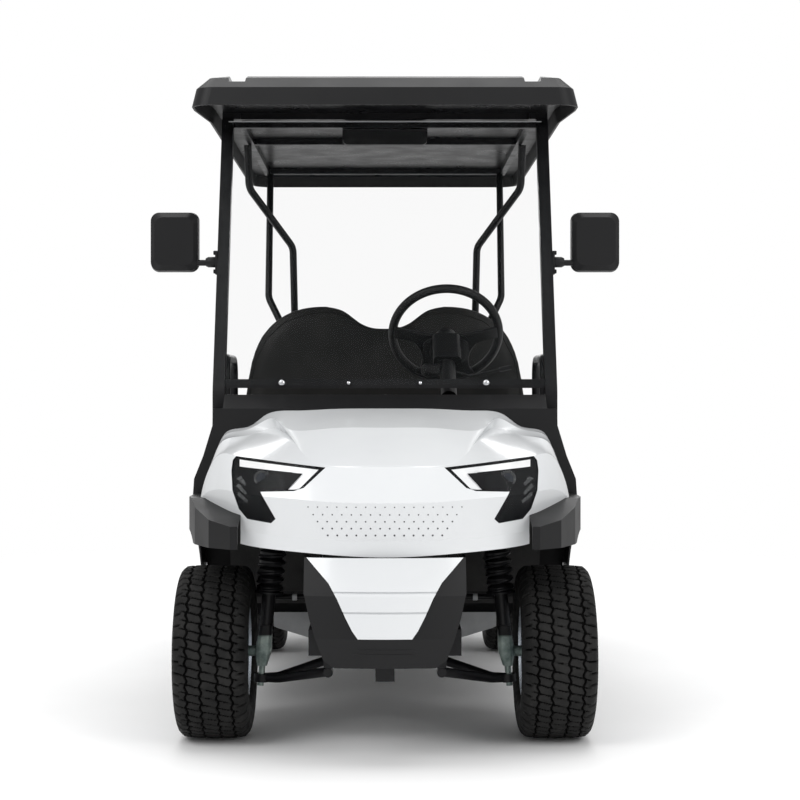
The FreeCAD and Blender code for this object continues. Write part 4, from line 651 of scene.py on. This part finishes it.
def piping(name, tree, points, body):
    """A sewn cord laid on the pad along the given loop."""
    path = []
    for p in dense(points, PIPING_STEP):
        point, normal, index, distance = tree.find_nearest(Vector(p))
        if point is not None:
            path.append(point + normal * PIPING_LIFT)
    count = len(path)
    smooth = [(path[i - 1] + path[i] * 2 + path[(i + 1) % count]) / 4 for i in range(count)]
    lump = Lump()
    lump.tube(smooth, PIPING_RADIUS, sides=6, closed=True)
    lump.done(name, "seat_vinyl", body)


def rounded_loop(x0, x1, y0, y1, z, r):
    """A level rectangle with round corners of radius r."""
    out = []
    for cx, cy, start in ((x1 - r, y1 - r, 0), (x0 + r, y1 - r, 1), (x0 + r, y0 + r, 2), (x1 - r, y0 + r, 3)):
        for i in range(CORNER_STEPS + 1):
            t = (start + i / CORNER_STEPS) * math.pi / 2
            out.append((cx + r * math.cos(t), cy + r * math.sin(t), z))
    return out


def back_loop(lo, hi, y, inset):
    """A seat back's outline at y, drawn in by inset."""
    half = (hi.x - lo.x) / 2 - inset
    right = [(x * half, y, lo.z + inset + z * (hi.z - lo.z - 2 * inset)) for x, z in BACK]
    return right + [(-x, y, z) for x, y, z in reversed(right[:-1])]


def cushions():
    """Swollen pads with piping in place of the four soft nodes."""
    pads = [soft_copy(row[0]) for row in PADS]
    swell(pads)
    for obj, (node, body, axis, at_low) in zip(pads, PADS):
        lo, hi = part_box(node)
        settle(obj, lo, hi, node, body, axis, at_low)
        tree = tree_of(obj)
        if node.endswith("cushion"):
            for tag, z, g in (("top", hi.z, SEAM_IN), ("low", lo.z + SEAM_UP, SEAM_OUT)):
                loop = rounded_loop(lo.x + g, hi.x - g, lo.y + g, hi.y - g, z, SEAM_CORNER)
                piping(node + "_seam_" + tag, tree, loop, body)
        else:
            for tag, y in (("front", lo.y - BACK_SEAM_OFF), ("back", hi.y + BACK_SEAM_OFF)):
                piping(node + "_seam_" + tag, tree, back_loop(lo, hi, y, BACK_SEAM_IN), body)


# Lamps and hood
# Outlines on the left lamp, and the dark corner laid over the white one of its lens.
STRIP = [(0.391, 0.785), (0.1755, 0.761), (0.227, 0.710), (0.255, 0.7095), (0.216, 0.7515), (0.390, 0.7665)]
FINS = [
    [(0.398, 0.735), (0.385, 0.742), (0.368, 0.722), (0.372, 0.716)],
    [(0.398, 0.715), (0.391, 0.723), (0.366, 0.700), (0.370, 0.693)],
    [(0.394, 0.692), (0.389, 0.701), (0.362, 0.678), (0.366, 0.671)],
]
BACKING = [(0.2640, 0.7545), (0.2170, 0.7510), (0.2540, 0.7115), (0.2640, 0.7115)]
STRIP_THICK, FIN_THICK, BACKING_THICK, BACKING_LIFT = 0.0022, 0.002, 0.0006, 0.0004
PROJECTOR_X, PROJECTOR_Z = 0.327, 0.737
RING_SUNK, PROJECTOR_SUNK = 0.004, 0.002
RING = [(0, 0.021), (0.005, 0.021), (0.0055, 0.018), (0.004, 0.0165)]
PROJECTOR = [(0, 0.016), (0.003, 0.014), (0.0045, 0.009), (0.005, 0.001)]
# Rows of dots on the hood from the top down: (height, reach to each side, count).
DOT_ROWS = [(0.6655, 0.2014, 17), (0.6454, 0.188, 16), (0.6271, 0.1765, 15), (0.6088, 0.1634, 14)]
DOT_ROWS += [(0.5905, 0.150, 13)]
DOT_RADIUS, DOT_GROWTH, DOT_SUNK = 0.0017, 0.00022, 0.0008  # each row's radius grows on the one above
DOT = [(0, 1.0), (0.0013, 1.0), (0.0014, 0.4)]  # (along, share of the radius)


def flip(points, side):
    return [(side * x, z) for x, z in points]


def lamps():
    """Light strip, dark corner, three fins and a projector in its ring, in each lamp."""
    for side, word in SIDES:
        patch("lamp_strip_" + word, flip(STRIP, side), "headlamps", STRIP_THICK, M["lamp_strip"])
        patch("lamp_backing_" + word, flip(BACKING, side), "headlamp_lenses", BACKING_THICK,
              M["lamp_housing"], BACKING_LIFT)
        for i, fin in enumerate(FINS):
            patch("lamp_fin_%s_%d" % (word, i), flip(fin, side), "headlamps", FIN_THICK, M["lamp_fin"])
        point, normal = hit("headlamps", side * PROJECTOR_X, PROJECTOR_Z)
        for name, sunk, profile, finish in (
            ("lamp_ring_", RING_SUNK, RING, "lamp_fin"),
            ("lamp_projector_", PROJECTOR_SUNK, PROJECTOR, "lamp_glass"),
        ):
            lump = Lump()
            lump.turned(point + Vector((0, sunk, 0)), FORWARD, profile, sides=32)
            lump.done(name + word, "lamp_housing", "chassis", material=M[finish])


def hood():
    """Rows of small dots low on the hood, larger toward the bottom."""
    dots = Lump()
    for row, (z, reach, count) in enumerate(DOT_ROWS):
        r = DOT_RADIUS + DOT_GROWTH * row
        for i in range(count):
            point, normal = hit("cowl", -reach + 2 * reach * i / (count - 1), z)
            profile = [(along, r * share) for along, share in DOT]
            dots.turned(point - normal * DOT_SUNK, normal, profile, sides=10)
    dots.done("hood_dots", "white_body", "chassis", material=M["dot_grey"])


# Windshield bolts, mirrors and springs
BAR_Z = 0.993
BAR_BOLTS = ((-0.301, 0.0095), (-0.106, 0.0055), (0.103, 0.0055), (0.295, 0.0095))  # (x, radius)
BAR_BOLT = [(-0.002, 1.0), (0.002, 1.0), (0.004, 0.8), (0.0055, 0.3)]  # (along, share of the radius)
MIRROR_X, MIRROR_Z, MIRROR_SIZE = 0.632, 1.418, (0.128, 0.0024, 0.160)
ROOM_MIRROR_HIT_Z, ROOM_MIRROR_Z, ROOM_MIRROR_SIZE = 1.775, 1.772, (0.232, 0.0024, 0.056)
GLASS_OFF, GLASS_EDGE = 0.0012, 0.001
JOINT_X, JOINT_Z, JOINT_IN = 0.520, 1.357, 0.009
JOINT = [(-0.018, 0.012), (-0.01, 0.016), (0.01, 0.016), (0.018, 0.012)]
JOINT_BOLT_X, JOINT_BOLT_DZ = 0.5095, 0.028
JOINT_BOLT = [(-0.002, 0.007), (0.005, 0.007), (0.006, 0.004)]
FRONT_AXLE_Y = -0.98
STRUT_LOW, STRUT_HIGH = (0.348, 0.165), (0.307, 0.594)  # (x, z) on the left strut's line
COIL_DROP, COIL_LIFT, COIL_HEIGHT = 0.189, 0.002, 0.166  # below the strut's top, then from there up
COIL_TURNS, COIL_STEPS = 7, 20
COIL_RADIUS, COIL_WIRE = 0.0345, 0.0048
COIL_SEATS = (-0.004, 0.168)
COIL_SEAT = [(0, 0.020), (0, 0.041), (0.006, 0.041), (0.006, 0.020)]


def bars_and_bolts():
    """Bright bolts along the bar under the windshield."""
    bolts = Lump()
    for x, r in BAR_BOLTS:
        point, normal = hit("windshield_frame", x, BAR_Z)
        if point is None:
            continue
        y = min(p.y for p in (point, *hits("windshield", [(x, point.z)])))
        profile = [(along, r * share) for along, share in BAR_BOLT]
        bolts.turned((x, y, point.z), FORWARD, profile)
    bolts.done("bar_bolts", "black_frame", "chassis", material=M["chrome"])


def mirror_sheet(name, x, hit_z, z, size):
    """A mirror's glass on the back of its case."""
    point, normal = hit("mirrors", x, hit_z, True)
    glass = Lump()
    glass.brick((x, point.y + GLASS_OFF, z), size, GLASS_EDGE)
    glass.done(name, "black_plastic", "chassis", material=M["mirror_glass"])


def mirrors():
    """Glass in the three mirrors, and a bolted joint on each side mirror's arm."""
    for side, word in SIDES:
        mirror_sheet("mirror_glass_" + word, side * MIRROR_X, MIRROR_Z, MIRROR_Z, MIRROR_SIZE)
        joint = Lump()
        point, normal = hit("mirrors", side * JOINT_X, JOINT_Z)
        if point is not None:
            y = point.y + JOINT_IN
            joint.turned((side * JOINT_X, y, JOINT_Z), (1, 0, 0), JOINT)
            for dz in (-JOINT_BOLT_DZ, JOINT_BOLT_DZ):
                joint.turned((side * JOINT_BOLT_X, y, JOINT_Z + dz), (side, 0, 0), JOINT_BOLT, sides=6)
        joint.done("mirror_joint_" + word, "black_plastic", "chassis")
    mirror_sheet("room_mirror_glass", 0, ROOM_MIRROR_HIT_Z, ROOM_MIRROR_Z, ROOM_MIRROR_SIZE)


def springs():
    """Steel coils with their seats round the front struts."""
    for (side, word), body in zip(SIDES, ("knuckle_l", "knuckle_r")):
        lump = Lump()
        low = Vector((side * STRUT_LOW[0], FRONT_AXLE_Y, STRUT_LOW[1]))
        high = Vector((side * STRUT_HIGH[0], FRONT_AXLE_Y, STRUT_HIGH[1]))
        line = (high - low).normalized()
        u, v = frame_axes(line)[1:]
        start = high - line * COIL_DROP
        points = []
        steps = COIL_TURNS * COIL_STEPS
        for i in range(steps + 1):
            t = 2 * math.pi * i / COIL_STEPS
            along = COIL_HEIGHT * i / steps + COIL_LIFT
            points.append(start + line * along + (u * math.cos(t) + v * math.sin(t)) * COIL_RADIUS)
        lump.tube(points, COIL_WIRE)
        for at in COIL_SEATS:
            lump.turned(start + line * at, line, COIL_SEAT, sides=28)
        lump.done("coil_" + word, "black_frame", body)


# Steering wheel and column
TILT = math.radians(-55)
HUB = Vector((0.190, -0.420, 1.149))
GRIP_CIRCLE, GRIP_RADIUS, GRIP_STEPS = 0.166, 0.0138, 96
# Half of the spokes' plate in the wheel's plane, from its upper edge round to its lower end, and the
# plate's slices: (place along the axis, share of the size about its middle).
SHIELD = [(0.0, -0.004), (0.050, -0.008), (0.105, -0.020), (0.158, -0.034), (0.163, 0.002), (0.126, 0.008)]
SHIELD += [(0.098, 0.022), (0.080, 0.050), (0.072, 0.085), (0.078, 0.118), (0.094, 0.136), (0.050, 0.157)]
SHIELD += [(0.0, 0.165)]
SHIELD_SLICES = ((-0.0195, 0.965), (-0.0165, 1.0), (-0.0085, 1.0), (-0.0058, 0.965))
SHIELD_MIDDLE = 0.06
# The pad over the hub and the cover on it: (bottom, top, half width, half height).
HUB_PADS = ((-0.033, -0.001, 0.072, 0.046), (-0.036, -0.030, 0.050, 0.030))
HUB_PAD_MIDDLE, HUB_PAD_SIDES, HUB_PAD_SQUARE = 0.046, 40, 0.55
HUB_PAD_FOOT = ((0, 0.84), (0.004, 1.0))  # (height over the bottom or the top, share of the size)
HUB_PAD_CROWN = ((-0.006, 0.98), (0, 0.86))
SHAFT = [(-0.164, 0.0105), (-0.046, 0.0105)]
BOSS = [(-0.046, 0.030), (-0.043, 0.034), (-0.030, 0.034), (-0.017, 0.033)]
LEVER = [(0.200, -0.583, 1.032), (0.258, -0.578, 1.016), (0.330, -0.571, 1.031), (0.352, -0.569, 1.036)]
LEVER_TIP = [(0.349, -0.569, 1.0353), (0.357, -0.568, 1.037), (0.380, -0.566, 1.042), (0.385, -0.566, 1.043)]
LEVER_RADIUS, LEVER_TIP_RADIUS = 0.0042, 0.0072
KEY_HOUSING, KEY_HOUSING_SIZE, KEY_HOUSING_EDGE = (0.142, -0.583, 1.034), (0.062, 0.040, 0.038), 0.008
KEY_LOCK, KEY_PROFILE = (0.132, -0.603, 1.034), [(-0.006, 0.011), (0.003, 0.011), (0.005, 0.008)]


def on_column(x, y, z):
    """From the wheel's own plane, with y toward its lower side, to the part's frame."""
    return HUB + Vector((x, y * math.cos(TILT) - z * math.sin(TILT), y * math.sin(TILT) + z * math.cos(TILT)))


def rounded(cosine, reach):
    """One coordinate of a rounded rectangle."""
    return math.copysign(abs(cosine) ** HUB_PAD_SQUARE, cosine) * reach


def steering():
    """Round grip, side spokes and the wide spoke at the bottom, as in the photograph."""
    lump = Lump()
    turns = (2 * math.pi * i / GRIP_STEPS for i in range(GRIP_STEPS))
    circle = [on_column(GRIP_CIRCLE * math.cos(a), GRIP_CIRCLE * math.sin(a), 0) for a in turns]
    lump.tube(circle, GRIP_RADIUS, sides=16, closed=True)
    outline = SHIELD + [(-x, y) for x, y in reversed(SHIELD[1:-1])]
    lump.rings([
        [on_column(x * share, SHIELD_MIDDLE + (y - SHIELD_MIDDLE) * share, z) for x, y in outline]
        for z, share in SHIELD_SLICES
    ])
    for z0, z1, wide, high in HUB_PADS:
        loops = []
        slices = [(z0 + dz, share) for dz, share in HUB_PAD_FOOT]
        slices += [(z1 + dz, share) for dz, share in HUB_PAD_CROWN]
        for z, share in slices:
            loop = []
            for i in range(HUB_PAD_SIDES):
                a = 2 * math.pi * i / HUB_PAD_SIDES
                u = rounded(math.cos(a), wide) * share
                v = rounded(math.sin(a), high) * share
                loop.append(on_column(u, HUB_PAD_MIDDLE + v, z))
            loops.append(loop)
        lump.rings(loops)
    axis = on_column(0, 0, 1) - on_column(0, 0, 0)
    lump.turned(HUB, axis, SHAFT, sides=20)
    lump.turned(HUB, axis, BOSS, sides=32)
    obj = lump.done("wheel_grip", slot_of["steering_wheel"], "steering", angle=38)
    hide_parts("steering_wheel")


def stalks():
    """Switch lever and key housing on the column."""
    lump = Lump()
    lump.tube(LEVER, LEVER_RADIUS, sides=10)
    lump.tube(LEVER_TIP, LEVER_TIP_RADIUS, sides=12)
    lump.brick(KEY_HOUSING, KEY_HOUSING_SIZE, KEY_HOUSING_EDGE)
    lump.turned(KEY_LOCK, FORWARD, KEY_PROFILE, sides=20)
    lump.done("column_stalks", "black_plastic", "chassis")


# Wheel wells, ribs and panel lines
WELL_Y, WELL_LOW, WELL_HIGH, WELL_THICK = -0.634, 0.352, 0.600, 0.004
WELL_INNER, WELL_OUTER, WELL_TAPER, WELL_BULGE = 0.236, 0.540, 0.010, 0.012
WELL_SHARES = (0.0, 0.12, 0.5, 0.88, 1.0)  # heights of the panel's slices
# Each ribbed node: half of a rib's length and its inset from the front edge.
RIBBED = (("floor_pan", 0.38, 0.10), ("footrest", 0.30, 0.035))
RIB_PITCH, RIB_WIDE, RIB_HIGH, RIB_RISE, RIB_EDGE = 0.021, 0.007, 0.0026, 0.0008, 0.001
RIB_ZONE, RIB_LEVEL, RIB_BACK_INSET = 0.62, 0.001, 0.4  # the last is a share of the front inset
LINE_RADIUS, LINE_STEP = 0.0012, 0.02
SIDE_ROUTES = ([(-0.085, 0.662), (1.07, 0.662)], [(0.115, 0.662), (0.115, 0.366)])  # (y, z)
SIDE_WALL_X = 0.5
BACK_ROUTE = [(-0.37, 0.642), (0.37, 0.642), (0.37, 0.425), (-0.37, 0.425), (-0.37, 0.642)]
LAMP_SCAN_FROM, LAMP_SCAN_STEP, LAMP_SCAN_COUNT, LAMP_SCAN_Z = 0.36, 0.003, 60, 0.595
LAMP_SCAN_LEAST = 5  # fewer hits than this mean that no lamp was found
LAMP_RIBS = (0.538, 0.557, 0.576, 0.595, 0.614, 0.633, 0.652)
LAMP_RIB_SHORT, LAMP_RIB_SIZE, LAMP_RIB_RISE, LAMP_RIB_EDGE = 0.004, (0.0030, 0.0036), 0.0006, 0.0012
CHIN_GROOVES = ((0.3005, 0.080), (0.2885, 0.086))  # (height, reach to each side)
GROOVE_HOOK_X, GROOVE_HOOK_Z, GROOVE_RADIUS = 0.008, 0.004, 0.0018
# Place and size of the pale line painted on the windshield's top edge as a highlight.
EDGE_IN, EDGE_DOWN, EDGE_RADIUS = 0.012, 0.006, 0.0016


def wheel_wells():
    """Dark inner panels that close the front wheel wells toward the floor."""
    for side, word in SIDES:
        loops = []
        for share in WELL_SHARES:
            z = WELL_LOW + (WELL_HIGH - WELL_LOW) * share
            y = WELL_Y - WELL_BULGE * math.sin(math.pi * share)
            x0, x1 = side * WELL_INNER, side * (WELL_OUTER - WELL_TAPER * (1 - share))
            corners = ((x0, y), (x1, y), (x1, y + WELL_THICK), (x0, y + WELL_THICK))
            loops.append([Vector((a, b, z)) for a, b in corners])
        lump = Lump()
        lump.rings(loops)
        lump.done("wheel_well_" + word, "black_plastic", "chassis")


def tread_ribs():
    """Raised ribs on the level parts of the floor and of the rear footrest."""
    for node, reach, inset in RIBBED:
        lo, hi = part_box(node)
        lump = Lump()
        y = lo.y + inset
        stop = min(hi.y, lo.y + RIB_ZONE) - inset * RIB_BACK_INSET
        while y < stop:
            spots = [cast(node, (x, y, ABOVE_FLOOR), (0, 0, -1))[0] for x in (-reach, 0.0, reach)]
            if all(p is not None for p in spots):
                heights = [p.z for p in spots]
                if max(heights) - min(heights) < RIB_LEVEL:
                    lump.brick((0, y, heights[1] + RIB_RISE), (2 * reach, RIB_WIDE, RIB_HIGH), RIB_EDGE)
            y += RIB_PITCH
        lump.done(node + "_ribs", slot_of[node], "chassis")


def rear_details():
    """Joints of the rear panels and the ribs moulded in the tail lamps."""
    for side, word in SIDES:
        lump = Lump()
        for route in SIDE_ROUTES:
            path = []
            for y, z in dense(route, LINE_STEP):
                point, normal = cast("rear_body", (side * FAR_SIDE, y, z), (-side, 0, 0))
                if point is not None and abs(point.x) > SIDE_WALL_X:
                    path.append(point)
            if len(path) > 2:
                lump.tube(path, LINE_RADIUS, sides=6)
        lump.done("side_joints_" + word, "white_body", "chassis", material=M["seam_dark"])
        found = []
        for i in range(LAMP_SCAN_COUNT):
            x = LAMP_SCAN_FROM + LAMP_SCAN_STEP * i
            point, normal = hit("tail_lamps", side * x, LAMP_SCAN_Z, True)
            if point is not None:
                found.append((x, point.y))
        if len(found) >= LAMP_SCAN_LEAST:
            low, high = found[1][0], found[-2][0]
            y = max(y for x, y in found)
            size = (high - low - LAMP_RIB_SHORT, *LAMP_RIB_SIZE)
            ribs = Lump()
            for z in LAMP_RIBS:
                ribs.brick((side * (low + high) / 2, y + LAMP_RIB_RISE, z), size, LAMP_RIB_EDGE)
            ribs.done("lamp_ribs_" + word, "red_lamp", "chassis")
    lump = Lump()
    path = hits("rear_body", dense(BACK_ROUTE, LINE_STEP), True)
    lump.tube(path[:-1], LINE_RADIUS, sides=6, closed=True)
    lump.done("back_joints", "white_body", "chassis", material=M["seam_dark"])


def edge_lines():
    """Moulded grooves low on the chin, and a pale line painted along the windshield's top edge as its
    highlight.
    """
    groove = Lump()
    for z, reach in CHIN_GROOVES:
        low = z - GROOVE_HOOK_Z
        route = [(-reach, low), (-reach + GROOVE_HOOK_X, z), (reach - GROOVE_HOOK_X, z), (reach, low)]
        face_line("chin_surround", route, GROOVE_RADIUS, groove)
    groove.done("chin_groove", "black_plastic", "chassis")
    # A pale line painted along the windshield's top edge as its highlight.
    lo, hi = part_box("windshield")
    edge = Lump()
    route = [(lo.x + EDGE_IN, hi.z - EDGE_DOWN), (hi.x - EDGE_IN, hi.z - EDGE_DOWN)]
    face_line("windshield", route, EDGE_RADIUS, edge)
    edge.done("windshield_edge_highlight", "black_frame", "chassis", material=M["seam_pale"])


# Under the front
PLATE_FRONT_Y, PLATE_BACK_Y, PLATE_TOP = -0.6265, -0.6240, 0.304
PLATE_EDGE = [(0.335, 0.262), (0.322, 0.256), (0.205, 0.220), (0.0, 0.213)]  # left half of the lower edge
COLLAR_X, COLLAR_HALF, COLLAR_EDGE, COLLAR_RISE = 0.261, 0.007, 0.006, 0.0016
ROD_SCAN_FROM, ROD_SCAN_STEP, ROD_SCAN_COUNT, ROD_SCAN_LEAST = 0.26, 0.0015, 120, 4
ROD_FRONT_LIMIT, ROD_MOST, ROD_COVER = -1.02, 0.02, 0.001  # hits further out or larger aren't the rod
CHIN_BOLTS = ((0.100, 0.232), (0.113, 0.224))
CHIN_BOLT = [(-0.001, 0.0048), (0.002, 0.0048), (0.0032, 0.003)]


def floor_plate():
    """Pale plate under the front of the floor."""
    lump = Lump()
    loops = []
    for x, z in PLATE_EDGE + flip(PLATE_EDGE[-2::-1], -1):
        front = [Vector((x, PLATE_FRONT_Y, z)), Vector((x, PLATE_FRONT_Y, PLATE_TOP))]
        loops.append(front + [Vector((x, PLATE_BACK_Y, PLATE_TOP)), Vector((x, PLATE_BACK_Y, z))])
    lump.rings(loops)
    lump.done("underfloor_plate", "grey_casting", "chassis", smooth=False, material=M["seam_pale"])


def rod_collars():
    """A pale collar on each side of the tie rod, sized from the rod that the rays find."""
    lump = Lump()
    for side in (-1, 1):
        scan = [(side * COLLAR_X, ROD_SCAN_FROM + ROD_SCAN_STEP * i) for i in range(ROD_SCAN_COUNT)]
        spots = [p for p in hits("tie_rods", scan) if p.y > ROD_FRONT_LIMIT]
        if len(spots) < ROD_SCAN_LEAST:
            continue
        low, high = spots[0].z, spots[-1].z
        r = (high - low) / 2 + ROD_COVER
        if r < ROD_MOST:
            y = min(p.y for p in spots) + r - ROD_COVER
            edge = r + COLLAR_RISE
            profile = [(-COLLAR_HALF, r), (-COLLAR_EDGE, edge), (COLLAR_EDGE, edge), (COLLAR_HALF, r)]
            lump.turned((side * COLLAR_X, y, (low + high) / 2), (1, 0, 0), profile)
    lump.done("rod_collars", "grey_casting", "linkage", material=M["seam_pale"])


def chin_bolts():
    """Two bolts at each side of the chin's lower edge."""
    lump = Lump()
    for side in (-1, 1):
        for x, z in flip(CHIN_BOLTS, side):
            found = hits("chin_surround", [(x, z)]) or hits("frame", [(x, z)])
            if found:
                lump.turned(found[0], FORWARD, CHIN_BOLT, sides=6)
    lump.done("chin_bolts", "black_frame", "chassis", material=M["chrome"])


for word, (body, side) in WHEELS.items():
    tyre("tyre_" + word, body)
    wheel_trim(word, body, side)
cushions()
lamps()
hood()
bars_and_bolts()
mirrors()
springs()
steering()
stalks()
wheel_wells()
tread_ribs()
rear_details()
edge_lines()
floor_plate()
rod_collars()
chin_bolts()

# Floor, light and camera
FLOOR_SIZE, FLOOR_DROP = 16, 0.001
FLOOR_GREY, FLOOR_PALE, FLOOR_NOISE = (0.93, 0.93, 0.93), (0.95, 0.95, 0.95), 1.5
FLOOR_ROUGH, FLOOR_GLOSS = 0.9, 0.1
FLOOR_FADE = (2.6, 5.2)  # the floor fades out between these distances from the part's origin
# Each light: name, place, size, power. All aim at AIM.
LIGHTS = (
    ("key_light", (-3.2, -4.5, 4.6), 3.0, 110),
    ("fill_light", (3.6, -4.2, 3.4), 3.0, 80),
    ("top_light", (0.0, 0.3, 5.5), 5.0, 190),
    ("back_light", (0.0, 5.5, 3.6), 3.5, 90),
)
AIM = Vector((0, 0, 0.8))
SKY_LIGHT = 0.62
CAMERA_PLACE = (0, -5.88, 0.961)
SENSOR, LENS, SHIFT_X, SHIFT_Y, CLIP_END = 36.0, 78.5, 0.0188, -0.0075, 100.0


def studio_floor():
    """A pale floor that fades into the white behind it."""
    mat, tree, bsdf = new_material("studio_floor")
    colour = mix_colour(tree, noise(tree, FLOOR_NOISE), FLOOR_GREY, FLOOR_PALE)
    tree.links.new(colour, bsdf.inputs["Base Color"])
    fill(bsdf, {"Roughness": FLOOR_ROUGH, "Specular IOR Level": FLOOR_GLOSS})
    far = add(tree, "ShaderNodeVectorMath", operation="LENGTH")
    tree.links.new(object_coords(tree), far.inputs[0])
    tree.links.new(ramp(tree, far.outputs["Value"], 1.0, 0.0, FLOOR_FADE), bsdf.inputs["Alpha"])
    bpy.ops.mesh.primitive_plane_add(size=FLOOR_SIZE, location=(0, 0, -FLOOR_DROP))
    floor = bpy.context.object
    floor.name = "studio_floor"
    floor.data.materials.append(mat)


def studio_world():
    """White where the camera looks past everything, and a softer white as light."""
    world = bpy.data.worlds.new("studio")
    bpy.context.scene.world = world
    world.use_nodes = True
    tree = world.node_tree
    tree.nodes.clear()
    out = add(tree, "ShaderNodeOutputWorld")
    path = add(tree, "ShaderNodeLightPath")
    mix = add(tree, "ShaderNodeMixShader")
    tree.links.new(path.outputs["Is Camera Ray"], mix.inputs["Fac"])
    for number, strength in ((1, SKY_LIGHT), (2, 1.0)):
        back = add(tree, "ShaderNodeBackground")
        fill(back, {"Color": (1, 1, 1, 1), "Strength": strength})
        tree.links.new(back.outputs[0], mix.inputs[number])
    tree.links.new(mix.outputs[0], out.inputs["Surface"])


def lights_and_camera():
    """Four soft lights, and a camera where the photograph was taken from."""
    scene = bpy.context.scene
    for name, place, size, power in LIGHTS:
        data = bpy.data.lights.new(name, "AREA")
        data.energy = power
        data.size = size
        lamp = bpy.data.objects.new(name, data)
        scene.collection.objects.link(lamp)
        lamp.location = place
        lamp.rotation_euler = (AIM - Vector(place)).to_track_quat("-Z", "Y").to_euler()
    data = bpy.data.cameras.new("photo_camera")
    data.sensor_width = SENSOR
    data.lens = LENS
    data.shift_x = SHIFT_X
    data.shift_y = SHIFT_Y
    data.clip_end = CLIP_END
    cam = bpy.data.objects.new("photo_camera", data)
    scene.collection.objects.link(cam)
    cam.location = CAMERA_PLACE
    cam.rotation_euler = (math.radians(90), 0, 0)
    scene.camera = cam
    scene.view_settings.view_transform = "Standard"


studio_floor()
studio_world()
lights_and_camera()
